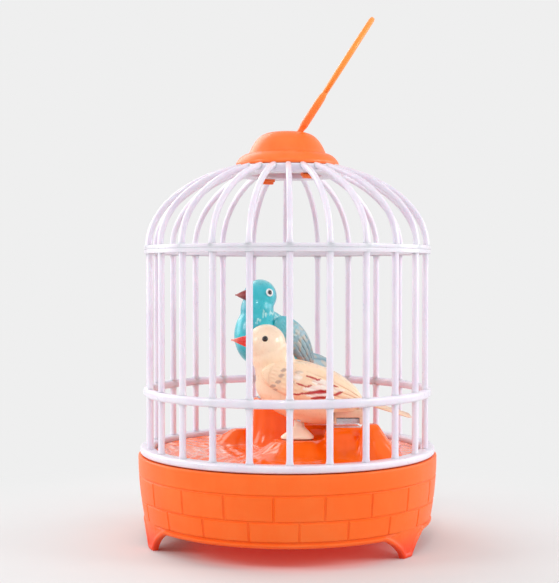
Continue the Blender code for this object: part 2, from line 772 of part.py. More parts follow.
def cage_screw_hole(name, angle, top):
    low = around(CAGE_SCREW_CIRCLE, angle, UPPER_LEDGE_BOTTOM - WALL)
    high = around(CAGE_SCREW_CIRCLE, angle, top)
    return rod(name, CAGE_SCREW_RADIUS + GAP, low, high, sides=12)


def build_cage_screws():
    head_bottom = UPPER_LEDGE_BOTTOM - GAP - SCREW_HEAD_HEIGHT
    length = FLANGE_TOP - 2 * GAP - BITE - head_bottom
    for number, angle in enumerate(cage_screw_angles(), 1):
        place = around(CAGE_SCREW_CIRCLE, angle, head_bottom)
        screw(f"cage_screw_{number}", place, CAGE_SCREW_HEAD, CAGE_SCREW_RADIUS, length)


# Cage


def bar_angles():
    return [BAR_PHASE + 360 / BAR_COUNT * i for i in range(BAR_COUNT)]


def build_cage_side():
    flange = ring(
        "cage_side", FLANGE_INNER, FLANGE_OUTER, FLANGE_BOTTOM, FLANGE_TOP, RING_STEPS, FLANGE_EDGE
    )
    side = as_part(flange, LAVENDER_WHITE)
    low = FLANGE_TOP - BITE
    high = TOP_RING_BOTTOM + BITE
    bar = box(
        "bar",
        (-BAR_WIDTH / 2, -BAR_CIRCLE - BAR_DEPTH / 2, low),
        (BAR_WIDTH / 2, -BAR_CIRCLE + BAR_DEPTH / 2, high),
    )
    bars = [turned_copy(f"bar {angle}", bar, turn_to(angle)) for angle in bar_angles()]
    join(side, merged("bars", bars))
    middle_top = MIDDLE_RING_BOTTOM + MIDDLE_RING_HEIGHT
    middle = ring(
        "middle ring", RING_INNER, MIDDLE_RING_OUTER, MIDDLE_RING_BOTTOM, middle_top, RING_STEPS, BITE
    )
    top = ring("top ring", RING_INNER, TOP_RING_OUTER, TOP_RING_BOTTOM, TOP_RING_TOP, RING_STEPS)
    join(side, middle, top)
    for number, angle in enumerate(cage_screw_angles(), 1):
        cut(side, cage_screw_hole(f"flange hole {number}", angle, FLANGE_TOP - BITE))
    return side


def rib_outline():
    """One rib from the lower ring to the collar, as an outline of (radius, height)."""
    end = math.acos(RIB_END_RADIUS / DOME_RADIUS)
    outer = []
    inner = []
    for i in range(RIB_STEPS + 1):
        turn = end * i / RIB_STEPS
        outer.append((DOME_RADIUS * math.cos(turn), DOME_RISE * math.sin(turn)))
        deeper = DOME_RADIUS - RIB_DEPTH
        inner_turn = math.acos(min(1.0, RIB_END_RADIUS / deeper)) * i / RIB_STEPS
        inner.append((deeper * math.cos(inner_turn), (DOME_RISE - RIB_DEPTH) * math.sin(inner_turn)))
    foot = DOME_RING_HEIGHT / 2
    lower = [(DOME_RADIUS - RIB_DEPTH, -foot), (DOME_RADIUS - BITE, -foot)]
    return [*lower, *outer, *reversed(inner)]


def build_cage_dome():
    lip = RING_INNER - GAP
    profile = [
        (TOP_RING_OUTER, DOME_SPRING),
        (TOP_RING_OUTER, DOME_RING_BOTTOM),
        (lip, DOME_RING_BOTTOM),
        (lip, TOP_RING_BOTTOM + GAP),
        (lip - DOME_LIP, TOP_RING_BOTTOM + GAP),
        (lip - DOME_LIP, DOME_SPRING),
    ]
    dome = as_part(turned("cage_dome", profile, RING_STEPS, closed=True), LAVENDER_WHITE)
    outwards = Matrix.Rotation(-math.pi / 2, 4, "Z") @ Matrix.Rotation(math.pi / 2, 4, "X")
    upright = Matrix.Translation((0, 0, DOME_SPRING)) @ outwards
    rib = flat_piece("rib", [rib_outline()], RIB_WIDTH, upright)
    ribs = [turned_copy(f"rib {angle}", rib, turn_to(angle)) for angle in bar_angles()]
    join(dome, merged("ribs", ribs))
    collar = ring("collar", COLLAR_INNER, COLLAR_OUTER, COLLAR_BOTTOM, COLLAR_TOP, BAR_COUNT)
    return join(dome, collar)


# Cap and handle


def cap_turn():
    return Matrix.Rotation(math.radians(CAP_TURN), 4, "Z")


def cap_outline(inset):
    """The cap's (radius, z) points from its top down to the brim, moved in by inset."""
    top = CAP_TOP - inset
    rise = CAP_HEIGHT - BRIM_RISE - inset
    crown = CROWN_RADIUS - inset
    points = [(0.0, top)]
    for i in range(1, CAP_CURVE_STEPS + 1):
        share = i / CAP_CURVE_STEPS
        points.append((crown * share, top - rise * share**CROWN_POWER))
    for flare in (BRIM_NECK, BRIM_FLARE):
        points.append((crown + flare.x, BRIM_BOTTOM + flare.y - inset))
    brim = BRIM_RADIUS - inset * BRIM_WALL_SHARE
    points.append((brim, BRIM_BOTTOM + max(BRIM_EDGE_INSIDE, BRIM_EDGE - inset)))
    return points


def build_top_cap():
    outside = cap_outline(0.0)
    inside = cap_outline(CAP_WALL)
    brim_inner = inside[-1][0]
    profile = [*outside, (BRIM_RADIUS, BRIM_BOTTOM), (brim_inner, BRIM_BOTTOM), *reversed(inside[:-1])]
    cap = as_part(turned("top_cap", profile, CAP_STEPS), ORANGE)
    for number, angle in enumerate(TAB_ANGLES, 1):
        outer = COLLAR_INNER - 2 * GAP
        bottom = COLLAR_BOTTOM - GAP - TAB_HOOK_HEIGHT
        tab = box(
            f"snap tab {number}",
            (-TAB_WIDTH / 2, -outer, bottom + TAB_HOOK_HEIGHT / 2),
            (TAB_WIDTH / 2, -outer + TAB_THICKNESS, BRIM_BOTTOM + TAB_ROOT),
        )
        hook = box(
            f"snap hook {number}",
            (-TAB_WIDTH / 2 + GAP / 2, -outer - TAB_HOOK, bottom),
            (TAB_WIDTH / 2 - GAP / 2, -outer + TAB_THICKNESS / 2, bottom + TAB_HOOK_HEIGHT),
        )
        for piece in (tab, hook):
            piece.data.transform(turn_to(angle))
        join(cap, tab, hook)
    lug_inner = STEM_WIDTH / 2 + GAP
    for side in (-1, 1):
        near, far = side * lug_inner, side * (lug_inner + LUG_THICKNESS)
        lug = box(
            f"lug {side}",
            (-EYE_RADIUS, min(near, far), HANDLE_PIVOT.z - EYE_RADIUS),
            (EYE_RADIUS, max(near, far), CAP_TOP - CAP_WALL / 2 - BITE / 2),
        )
        lug.data.transform(cap_turn())
        join(cap, lug)
    reach = lug_inner + LUG_THICKNESS + BITE
    hole = rod(
        "pin hole", HANDLE_PIN_RADIUS + GAP, (0, -reach, HANDLE_PIVOT.z), (0, reach, HANDLE_PIVOT.z), 12
    )
    lean = math.radians(HANDLE_TILT)
    half_slot = PIVOT_BELOW_CAP_TOP * math.tan(lean) + STEM_THICKNESS / 2 / math.cos(lean) + GAP
    half_width = lug_inner + GAP / 2
    slot = box(
        "handle slot",
        (-half_slot, -half_width, CAP_TOP - 2 * CAP_WALL),
        (half_slot, half_width, CAP_TOP + CAP_WALL),
    )
    for piece in (hole, slot):
        piece.data.transform(cap_turn())
    return cut(cap, slot, hole)


def loop_outline(inset):
    """The carrying loop: round near the neck and pointed at the tip, moved in by inset."""
    half = LOOP_WIDTH / 2 - inset
    low = STEM_LENGTH + NECK_LENGTH - BITE + inset
    length = LOOP_LENGTH + BITE - (1 + LOOP_TIP_SHARE) * inset
    right = []
    for i in range(1, LOOP_STEPS):
        share = i / LOOP_STEPS
        width = half * math.sin(math.pi * share**LOOP_WIDEST) ** LOOP_FULLNESS
        right.append((low + length * share, width))
    left = [(along, -width) for along, width in reversed(right)]
    return [(low, 0.0), *right, (low + length, 0.0), *left]


def build_handle():
    lean = Matrix.Rotation(math.radians(HANDLE_TILT), 4, "Y")
    pivot = empty("handle_pivot", HANDLE_PIVOT, cap_turn() @ lean)
    eye = rod(
        "handle_loop", EYE_RADIUS, (0, -STEM_WIDTH / 2, 0), (0, STEM_WIDTH / 2, 0), SMALL_STEPS
    )
    handle = as_part(eye, ORANGE, pivot)
    stem = box(
        "stem",
        (-STEM_THICKNESS / 2, -STEM_WIDTH / 2 + GAP / 3, 0),
        (STEM_THICKNESS / 2, STEM_WIDTH / 2 - GAP / 3, STEM_LENGTH + BITE),
    )
    neck_top = STEM_LENGTH + NECK_LENGTH
    neck = box(
        "neck",
        (-NECK_THICKNESS / 2, -NECK_WIDTH / 2, STEM_LENGTH),
        (NECK_THICKNESS / 2, NECK_WIDTH / 2, neck_top),
    )
    edge = neck.modifiers.new("edges", "BEVEL")
    edge.width = NECK_EDGE
    edge.segments = 2
    upright = Matrix.Rotation(-math.pi / 2, 4, "Y")
    loop = flat_piece("loop", [loop_outline(0.0), loop_outline(LOOP_RAIL)], HANDLE_THICKNESS, upright)
    join(handle, stem, neck, loop)
    hole = rod("eye hole", HANDLE_PIN_RADIUS + GAP, (0, -STEM_WIDTH, 0), (0, STEM_WIDTH, 0), 12)
    return cut(handle, hole)


def build_handle_pin():
    reach = STEM_WIDTH / 2 + GAP + LUG_THICKNESS
    pin = rod("handle_pin", HANDLE_PIN_RADIUS, (0, -reach, 0), (0, reach, 0))
    as_part(pin, STEEL)
    pin.matrix_world = Matrix.Translation(HANDLE_PIVOT) @ cap_turn()
    return pin


# Deck


def bird_frame(bird):
    return Matrix.Translation(bird.place) @ Matrix.Rotation(math.radians(bird.heading), 4, "Z")


def magnet_place(bird):
    """The point in the world under the middle of the bird's steel bar, on the rock."""
    point = bird_frame(bird) @ Vector((bird.magnet_x, 0, 0))
    return Vector((point.x, point.y, bird.rock_top))


def rock(name, foot, base_radii, crown, crown_radii, top):
    """A solid rock that stands in the deck."""
    return mound(name, foot, base_radii, crown, crown_radii, DECK_TOP - DECK_THICKNESS / 2, top)


def rock_hollow(name, foot, base_radii, crown, crown_radii, top):
    """The hollow that is open under a rock."""
    wall = Vector((ROCK_SIDE_WALL, ROCK_SIDE_WALL))
    low = DECK_TOP - DECK_THICKNESS - WALL
    return mound(name, foot, base_radii - wall, crown, crown_radii - wall, low, top - ROCK_WALL)


def deck_rocks():
    """Name, foot, foot radii, crown, crown radii and top of each rock."""
    stump = (BLUE_BIRD.place.xy + magnet_place(BLUE_BIRD).xy) / 2
    cream = CREAM_BIRD.place.xy
    steel = magnet_place(CREAM_BIRD).xy
    cream_foot = CREAM_BIRD.place.z - CREAM_LEG_HEIGHT - GAP
    edge_crown = EDGE_ROCK + EDGE_ROCK_LEAN
    return [
        ("stump", stump, STUMP_FOOT, stump, STUMP_CROWN, BLUE_BIRD.rock_top),
        ("front rock", cream + PERCH_LEAN, PERCH_FOOT, cream, PERCH_CROWN, cream_foot),
        ("right rock", steel + ROCK_LEAN, ROCK_FOOT, steel, ROCK_CROWN, CREAM_BIRD.rock_top),
        ("edge rock", EDGE_ROCK, EDGE_ROCK_FOOT, edge_crown, EDGE_ROCK_CROWN, DECK_TOP + EDGE_ROCK_RISE),
        ("small rock", SMALL_ROCK, SMALL_ROCK_FOOT, SMALL_ROCK, SMALL_ROCK_CROWN, DECK_TOP + SMALL_ROCK_RISE),
    ]


def build_deck():
    edge = base_inner(BASE_TOP) - GAP
    step = FLANGE_INNER - GAP
    under = UPPER_LEDGE_RADIUS - 2 * GAP
    profile = [
        (0, DECK_TOP),
        (step, DECK_TOP),
        (step, DECK_EDGE_TOP),
        (edge, DECK_EDGE_TOP),
        (edge, DECK_BOTTOM),
        (under, DECK_BOTTOM),
        (under, DECK_TOP - DECK_THICKNESS),
        (0, DECK_TOP - DECK_THICKNESS),
    ]
    deck = as_part(turned("deck", profile), ORANGE)
    rocks = deck_rocks()
    join(deck, *[rock(name, *sizes) for name, *sizes in rocks])
    cut(deck, *[rock_hollow(f"{name} hollow", *sizes) for name, *sizes in rocks])
    for number, angle in enumerate(cage_screw_angles(), 1):
        cut(deck, cage_screw_hole(f"deck hole {number}", angle, DECK_EDGE_TOP + WALL))
    return deck


# Birds


def bird_solid(bird, name, grow=0.0):
    """The bird's body, neck and head as one form; grow adds to every radius."""
    body = ellipsoid(name, bird.body_centre, bird.body_radii, bird.body_tilt, grow)
    neck = ellipsoid(f"{name} neck", bird.neck_centre, bird.neck_radii, 0.0, grow, 12, 8)
    head = ellipsoid(f"{name} head", bird.head_centre, [bird.head_radius] * 3, 0.0, grow, 14, 10)
    return body, neck, head


def grown_cutter(bird, name, pivot):
    """The bird's form grown by the clearance, to cut what lies against it."""
    body, neck, head = bird_solid(bird, name, GAP)
    as_helper(body, pivot)
    return join(body, neck, head)


def magnet_low(bird):
    """The height of the steel bar's underside in the bird's frame."""
    return bird.rock_top + MAGNET_GAP - bird.place.z


def tail_frame(bird):
    return Matrix.Translation(bird.tail_root) @ Matrix.Rotation(math.radians(bird.tail_slope), 4, "Y")


def build_bird_body(bird, pivot):
    body, neck, head = bird_solid(bird, f"{bird.name}_body")
    as_part(body, bird.body_finish, pivot)
    join(body, neck, head)
    low = magnet_low(bird) - GAP
    frame = box(
        f"{bird.name} bar frame",
        (bird.magnet_x - MAGNET_LENGTH / 2 - BAR_FRAME_FRONT, -MAGNET_WIDTH / 2 - GAP, low),
        (bird.magnet_x + MAGNET_LENGTH / 2 + BAR_FRAME_BACK, MAGNET_WIDTH / 2 + GAP, low + BAR_FRAME_HEIGHT),
    )
    pocket = box(
        f"{bird.name} bar pocket",
        (bird.magnet_x - MAGNET_LENGTH / 2 - GAP, -MAGNET_WIDTH, low - BITE),
        (bird.magnet_x + MAGNET_LENGTH / 2 + GAP, MAGNET_WIDTH, low + MAGNET_HEIGHT + 2 * GAP),
    )
    join(body, frame)
    slot = box(
        f"{bird.name} leg slot",
        (-LEG_LENGTH / 2 - 3 * GAP, -LEG_WIDTH / 2 - GAP, -LEG_SLOT_DEPTH),
        (LEG_LENGTH / 2 + 3 * GAP, LEG_WIDTH / 2 + GAP, LEG_LENGTH / 2 + 2 * GAP),
    )
    reach = bird.body_radii.y * PIN_HOLE_SHARE
    hole = rod(f"{bird.name} pin hole", PIN_RADIUS + GAP, (0, -reach, 0), (0, reach, 0), 12)
    tail_slot = box(
        f"{bird.name} tail slot",
        (-GAP, -bird.tail_root_width / 2 - 2 * GAP, -TAIL_THICKNESS / 2 - GAP),
        (bird.tail_length, bird.tail_root_width / 2 + 2 * GAP, TAIL_THICKNESS / 2 + GAP),
    )
    tail_slot.data.transform(tail_frame(bird))
    return cut(body, pocket, slot, hole, tail_slot)


def build_magnet(bird, pivot):
    low = magnet_low(bird)
    steel = box(
        f"{bird.name}_magnet_bar",
        (bird.magnet_x - MAGNET_LENGTH / 2, -MAGNET_WIDTH / 2, low),
        (bird.magnet_x + MAGNET_LENGTH / 2, MAGNET_WIDTH / 2, low + MAGNET_HEIGHT),
    )
    return as_part(steel, STEEL, pivot)


def build_wings(bird, pivot):
    cutter = grown_cutter(bird, f"{bird.name} wing seat", pivot)
    for side, name in ((-1, "left"), (1, "right")):
        centre = Vector((bird.wing_centre.x, side * bird.wing_centre.y, bird.wing_centre.z))
        wing = ellipsoid(
            f"{bird.name}_wing_{name}", centre, bird.wing_radii, bird.wing_tilt, 0.0, 12, 8
        )
        as_part(wing, bird.body_finish, pivot)
        cut(wing, cutter)


def build_tail(bird, pivot):
    """A flat tail whose root stays narrow in its slot, and whose end is split by a notch."""
    root = bird.tail_root_width / 2
    tip = bird.tail_tip_width / 2
    length = bird.tail_length
    straight = length * TAIL_STRAIGHT_SHARE
    outline = [
        (0, -root),
        (straight, -root),
        (length, -tip),
        (length - TAIL_NOTCH, 0),
        (length, tip),
        (straight, root),
        (0, root),
    ]
    tail = flat_piece(f"{bird.name}_tail", [outline], TAIL_THICKNESS, tail_frame(bird))
    return as_part(tail, bird.body_finish, pivot)


def build_beak(bird, pivot):
    beak = rod(
        f"{bird.name}_beak",
        bird.beak_radius,
        bird.head_centre + (bird.beak_tip - bird.head_centre) * BEAK_ROOT_SHARE,
        bird.beak_tip,
        12,
        BEAK_TIP_RADIUS,
    )
    as_part(beak, bird.beak_finish, pivot)
    grown = ellipsoid(
        f"{bird.name} beak seat", bird.head_centre, [bird.head_radius] * 3, 0.0, GAP, 14, 10
    )
    return cut(beak, grown)


def build_leg(bird, stand, height):
    """The leg that stands on the rock: a foot plate and a stalk up to the rocking pin."""
    low = -height
    foot = box(
        f"{bird.name}_leg",
        (-BIRD_FOOT_LENGTH * BIRD_FOOT_FRONT_SHARE, -BIRD_FOOT_WIDTH / 2, low),
        (BIRD_FOOT_LENGTH * (1 - BIRD_FOOT_FRONT_SHARE), BIRD_FOOT_WIDTH / 2, low + BIRD_FOOT_THICKNESS),
    )
    as_part(foot, bird.body_finish, stand)
    stalk = box(
        f"{bird.name} stalk",
        (-LEG_LENGTH / 2 + GAP / 2, -LEG_WIDTH / 2, low + BITE),
        (LEG_LENGTH / 2 - GAP / 2, LEG_WIDTH / 2, -GAP),
    )
    top = rod(
        f"{bird.name} stalk top",
        LEG_LENGTH / 2,
        (0, -LEG_WIDTH / 2 + GAP / 6, 0),
        (0, LEG_WIDTH / 2 - GAP / 6, 0),
        16,
    )
    hole = rod(f"{bird.name} leg hole", PIN_RADIUS + GAP, (0, -LEG_WIDTH, 0), (0, LEG_WIDTH, 0), 12)
    return cut(join(foot, stalk, top), hole)


def build_pin(bird, stand):
    half = bird.body_radii.y * PIN_SHARE
    return as_part(rod(f"{bird.name}_pin", PIN_RADIUS, (0, -half, 0), (0, half, 0), 12), STEEL, stand)


def build_bird(bird, leg_height):
    turn = Matrix.Rotation(math.radians(bird.heading), 4, "Z")
    pivot = empty(f"{bird.name}_pivot", bird.place, turn)
    stand = empty(f"{bird.name}_stand", bird.place, turn)
    build_bird_body(bird, pivot)
    build_magnet(bird, pivot)
    build_wings(bird, pivot)
    build_tail(bird, pivot)
    build_beak(bird, pivot)
    build_leg(bird, stand, leg_height)
    build_pin(bird, stand)


# Electromagnets


def build_electromagnet(bird, name):
    """Bobbin, winding and core, seated under the rock's roof below the steel bar."""
    roof = magnet_place(bird)
    top = roof.z - ROCK_WALL - GAP
    low = top - BOBBIN_HEIGHT
    flange = BOBBIN_FLANGE
    bore = CORE_RADIUS + GAP
    hub = bore + BOBBIN_FLANGE
    profile = [
        (BOBBIN_RADIUS, top),
        (BOBBIN_RADIUS, top - flange),
        (hub, top - flange),
        (hub, low + flange),
        (BOBBIN_RADIUS, low + flange),
        (BOBBIN_RADIUS, low),
        (bore, low),
        (bore, top),
    ]
    bobbin = as_part(turned(f"{name}_bobbin", profile, SMALL_STEPS, closed=True), BLACK)
    winding = ring(
        f"{name}_winding",
        hub + GAP,
        BOBBIN_RADIUS - GAP,
        low + flange + GAP,
        top - flange - GAP,
        SMALL_STEPS,
    )
    as_part(winding, COPPER)
    core = as_part(rod(f"{name}_core", CORE_RADIUS, (0, 0, low - CORE_TAIL), (0, 0, top), 16), STEEL)
    for piece in (bobbin, winding, core):
        piece.location = (roof.x, roof.y, 0)


# Bottom cover and battery compartment


def bay_x(side):
    return side * BAY_LENGTH / 2


def build_bottom_cover():
    radius = base_inner(LOWER_LEDGE_BOTTOM) - 2 * GAP - BITE / 2
    disc = rod("bottom_cover", radius, (0, 0, COVER_BOTTOM), (0, 0, COVER_TOP), FINE_STEPS)
    cover = as_part(disc, ORANGE)
    half_width = BAY_WIDTH / 2
    outer_x = BAY_LENGTH / 2 + BAY_WALL
    outer_y = half_width + BAY_WALL
    middle = COVER_BOTTOM + COVER_THICKNESS / 2
    bay = box(
        "battery bay",
        (-outer_x, BATTERY_BAY_Y - outer_y, middle),
        (outer_x, BATTERY_BAY_Y + outer_y, BAY_TOP + BAY_WALL),
    )
    hollow = box(
        "bay hollow",
        (bay_x(-1), BATTERY_BAY_Y - half_width, COVER_BOTTOM - WALL),
        (bay_x(1), BATTERY_BAY_Y + half_width, BAY_TOP),
    )
    speaker_seat = ring(
        "speaker seat",
        SPEAKER_RADIUS + GAP,
        SPEAKER_RADIUS + GAP + BAY_WALL,
        middle,
        COVER_TOP + SPEAKER_SEAT_HEIGHT,
        SPEAKER_STEPS,
    )
    speaker_seat.location = (0, SPEAKER_Y, 0)
    join(cover, bay, speaker_seat)
    for number, place in enumerate(board_post_places(), 1):
        post = rod(f"board post {number}", POST_RADIUS, (*place, middle), (*place, BOARD_BOTTOM - GAP), 12)
        join(cover, post)
    cut(cover, hollow)
    cut(cover, merged("speaker holes", speaker_holes()))
    for number, place in enumerate(board_post_places(), 1):
        low = (*place, BOARD_BOTTOM - BOARD_SCREW_LENGTH)
        high = (*place, BOARD_BOTTOM + BITE)
        cut(cover, rod(f"post hole {number}", board_hole(), low, high, 12))
    for number, angle in enumerate(foot_angles(), 1):
        low = around(BOSS_CIRCLE, angle, COVER_BOTTOM - WALL)
        high = around(BOSS_CIRCLE, angle, COVER_TOP + WALL)
        cut(cover, rod(f"cover hole {number}", CASE_SCREW_RADIUS + GAP, low, high, 12))
    knob_half = Vector((KNOB_WIDTH / 2 + GAP, SWITCH_TRAVEL / 2 + KNOB_LENGTH / 2 + GAP))
    knob_slot = box(
        "knob slot",
        (SWITCH_X - knob_half.x, SWITCH_Y - knob_half.y, COVER_BOTTOM - WALL),
        (SWITCH_X + knob_half.x, SWITCH_Y + knob_half.y, COVER_TOP + WALL),
    )
    join(cover, door_boss())
    return cut(cover, knob_slot, door_screw_hole("door boss hole", DOOR_BOSS_TOP - BAY_WALL))


def speaker_holes():
    places = [Vector((0, SPEAKER_Y))]
    for i in range(SPEAKER_HOLE_COUNT):
        turn = math.tau * i / SPEAKER_HOLE_COUNT
        offset = Vector((math.cos(turn), math.sin(turn))) * SPEAKER_HOLE_CIRCLE
        places.append(Vector((0, SPEAKER_Y)) + offset)
    low, high = COVER_BOTTOM - WALL, COVER_TOP + WALL
    return [
        rod(f"speaker hole {i}", SPEAKER_HOLE_RADIUS, (*place, low), (*place, high), 8)
        for i, place in enumerate(places)
    ]


def door_boss():
    """A boss above the cover beside the bay, which takes the battery door's screw."""
    low = (DOOR_SCREW_X, DOOR_SCREW_Y, COVER_TOP - COVER_THICKNESS / 2)
    high = (DOOR_SCREW_X, DOOR_SCREW_Y, DOOR_BOSS_TOP)
    return rod("door boss", DOOR_BOSS_RADIUS, low, high, 12)


def door_screw_hole(name, top):
    low = (DOOR_SCREW_X, DOOR_SCREW_Y, COVER_BOTTOM - 2 * WALL)
    high = (DOOR_SCREW_X, DOOR_SCREW_Y, top)
    return rod(name, CASE_SCREW_RADIUS + GAP, low, high, 12)


def build_battery_door():
    """A lid over the bay's mouth, with an ear under the cover for its screw."""
    half_x = BAY_LENGTH / 2 - GAP
    half_y = BAY_WIDTH / 2 - GAP
    plug = box(
        "battery_door",
        (-half_x, BATTERY_BAY_Y - half_y, COVER_BOTTOM - BITE),
        (half_x, BATTERY_BAY_Y + half_y, COVER_TOP),
    )
    door = as_part(plug, ORANGE)
    low = COVER_BOTTOM - GAP - DOOR_EAR_THICKNESS
    ear = box(
        "door ear",
        (DOOR_SCREW_X - DOOR_EAR_LENGTH / 2, DOOR_SCREW_Y - DOOR_EAR_HALF_WIDTH, low),
        (DOOR_SCREW_X + DOOR_EAR_LENGTH / 2, BATTERY_BAY_Y, COVER_BOTTOM - GAP),
    )
    join(door, ear)
    return cut(door, door_screw_hole("ear hole", COVER_TOP))


def build_cells():
    """Two cells side by side, with their positive ends opposite."""
    for number, side in ((1, -1), (2, 1)):
        profile = [
            (0, CELL_LENGTH),
            (CELL_NUB_RADIUS, CELL_LENGTH),
            (CELL_NUB_RADIUS, CELL_LENGTH - CELL_NUB_LENGTH),
            (CELL_RADIUS - CELL_EDGE, CELL_LENGTH - CELL_NUB_LENGTH),
            (CELL_RADIUS, CELL_LENGTH - CELL_NUB_LENGTH - CELL_EDGE),
            (CELL_RADIUS, 0),
            (0, 0),
        ]
        cell = as_part(turned(f"aa_cell_{number}", profile, SMALL_STEPS), CELL_BLUE)
        lie = Matrix.Rotation(-side * math.pi / 2, 4, "Y")
        start = Vector((bay_x(side) - side * SPRING_SPACE, cell_y(side), cell_z()))
        cell.matrix_world = Matrix.Translation(start) @ lie


def cell_y(side):
    return BATTERY_BAY_Y + side * BAY_WIDTH / 4


def cell_z():
    return COVER_TOP + GAP + CELL_RADIUS


def contact(name, side, low_y, high_y):
    """A spring-steel plate against an end wall of the bay."""
    wall = bay_x(side) - side * GAP
    face = wall - side * CONTACT_THICKNESS
    half_height = CELL_RADIUS * CONTACT_HEIGHT_SHARE
    plate = box(
        name,
        (min(wall, face), low_y, cell_z() - half_height),
        (max(wall, face), high_y, cell_z() + half_height),
    )
    return as_part(plate, STEEL)


def build_contacts():
    reach = CELL_RADIUS * CONTACT_WIDTH_SHARE
    contact("bridging_contact", 1, cell_y(-1) - reach, cell_y(1) + reach)
    contact("negative_contact", -1, cell_y(-1) - reach, cell_y(-1) + reach)
    contact("positive_contact", -1, cell_y(1) - reach, cell_y(1) + reach)
    for number, side in ((1, -1), (2, 1)):
        y = cell_y(side)
        wide = bay_x(side) - side * (2 * GAP + CONTACT_THICKNESS)
        narrow = bay_x(side) - side * (SPRING_SPACE - GAP)
        cone = rod(
            f"battery_spring_{number}",
            SPRING_WIDE,
            (wide, y, cell_z()),
            (narrow, y, cell_z()),
            12,
            SPRING_NARROW,
        )
        as_part(cone, STEEL)
        bore = rod(
            f"spring bore {number}",
            SPRING_BORE,
            (wide + side * BITE, y, cell_z()),
            (narrow - side * BITE, y, cell_z()),
            12,
        )
        cut(cone, bore)


# Speaker


def build_speaker():
    low = COVER_TOP + GAP
    rim_top = low + SPEAKER_RIM_HEIGHT
    top = low + SPEAKER_HEIGHT
    rim_inner = SPEAKER_RADIUS - SPEAKER_RIM_WIDTH
    cup_inner = SPEAKER_CUP_RADIUS - SPEAKER_CUP_WALL
    cup_ceiling = top - SPEAKER_RIM_HEIGHT
    frame_profile = [
        (0, top),
        (SPEAKER_CUP_RADIUS, top),
        (SPEAKER_RADIUS, rim_top),
        (SPEAKER_RADIUS, low),
        (rim_inner, low),
        (rim_inner - GAP, rim_top),
        (cup_inner, cup_ceiling),
        (0, cup_ceiling),
    ]
    frame = turned("speaker_frame", frame_profile, SPEAKER_STEPS)
    cone_top = cup_ceiling - GAP
    cone_profile = [
        (0, cone_top),
        (CONE_RADIUS, cone_top),
        (rim_inner - 3 * GAP, rim_top),
        (rim_inner - 2 * GAP, low + GAP),
        (rim_inner - 2 * GAP - 2 * CONE_THICKNESS, low + GAP),
        (CONE_RADIUS - CONE_THICKNESS, cone_top - CONE_THICKNESS),
        (0, cone_top - CONE_THICKNESS),
    ]
    cone = turned("speaker_cone", cone_profile, SPEAKER_STEPS)
    magnet_radius = SPEAKER_CUP_RADIUS - SPEAKER_MAGNET_INSET
    magnet_low = (0, 0, top + GAP)
    magnet_high = (0, 0, top + GAP + SPEAKER_MAGNET_HEIGHT)
    magnet = rod("speaker_magnet", magnet_radius, magnet_low, magnet_high, SPEAKER_STEPS)
    for piece, finish in ((frame, STEEL), (cone, PAPER_GREY), (magnet, BLACK)):
        as_part(piece, finish)
        piece.location = (0, SPEAKER_Y, 0)


# Board, microphone, chip and switch


def board_post_places():
    half_x = BOARD_LENGTH / 2 - BOARD_HOLE_INSET
    half_y = BOARD_WIDTH / 2 - BOARD_HOLE_INSET
    return [(-half_x, SPEAKER_Y + half_y), (half_x, SPEAKER_Y - half_y)]


def board_hole():
    return CAGE_SCREW_RADIUS + GAP


def build_board():
    board = box(
        "circuit_board",
        (-BOARD_LENGTH / 2, SPEAKER_Y - BOARD_WIDTH / 2, BOARD_BOTTOM),
        (BOARD_LENGTH / 2, SPEAKER_Y + BOARD_WIDTH / 2, BOARD_TOP),
    )
    as_part(board, BOARD_GREEN)
    for number, place in enumerate(board_post_places(), 1):
        low = (*place, BOARD_BOTTOM - BITE)
        cut(board, rod(f"board hole {number}", board_hole(), low, (*place, BOARD_TOP + BITE), 12))
        name = f"board_screw_{number}"
        made = screw(name, (0, 0, 0), CAGE_SCREW_HEAD, CAGE_SCREW_RADIUS, BOARD_SCREW_LENGTH)
        head_top = Matrix.Translation((*place, BOARD_TOP + GAP + SCREW_HEAD_HEIGHT))
        made.matrix_world = head_top @ Matrix.Rotation(math.pi, 4, "X")
    chip_profile = [
        (0, CHIP_HEIGHT),
        (CHIP_RADIUS * 0.55, CHIP_HEIGHT * 0.88),
        (CHIP_RADIUS * 0.9, CHIP_HEIGHT * 0.4),
        (CHIP_RADIUS, 0),
        (0, 0),
    ]
    chip = as_part(turned("sound_chip", chip_profile, SMALL_STEPS), BLACK)
    top = (0, 0, MICROPHONE_HEIGHT)
    microphone = as_part(rod("microphone", MICROPHONE_RADIUS, (0, 0, 0), top, SMALL_STEPS), STEEL)
    for piece, offset in ((chip, CHIP_OFFSET), (microphone, MICROPHONE_OFFSET)):
        piece.location = (offset.x, SPEAKER_Y + offset.y, BOARD_TOP + GAP / 3)


def build_switch():
    """A slide switch on the cover. Its knob rests at the off end of its slot."""
    low = COVER_TOP + GAP
    body = box(
        "switch_body",
        (SWITCH_X - SWITCH_WIDTH / 2, SWITCH_Y - SWITCH_LENGTH / 2, low),
        (SWITCH_X + SWITCH_WIDTH / 2, SWITCH_Y + SWITCH_LENGTH / 2, low + SWITCH_HEIGHT),
    )
    as_part(body, STEEL)
    reach = SWITCH_TRAVEL / 2 + KNOB_LENGTH / 2 + GAP
    well = box(
        "knob well",
        (SWITCH_X - KNOB_WIDTH / 2 - GAP, SWITCH_Y - reach, low - WALL),
        (SWITCH_X + KNOB_WIDTH / 2 + GAP, SWITCH_Y + reach, low + SWITCH_WELL),
    )
    cut(body, well)
    knob_y = SWITCH_Y - SWITCH_TRAVEL / 2
    knob = box(
        "switch_knob",
        (-KNOB_WIDTH / 2, -KNOB_LENGTH / 2, COVER_BOTTOM - KNOB_DROP),
        (KNOB_WIDTH / 2, KNOB_LENGTH / 2, low + SWITCH_WELL - GAP),
    )
    as_part(knob, BLACK)
    knob.location = (SWITCH_X, knob_y, 0)


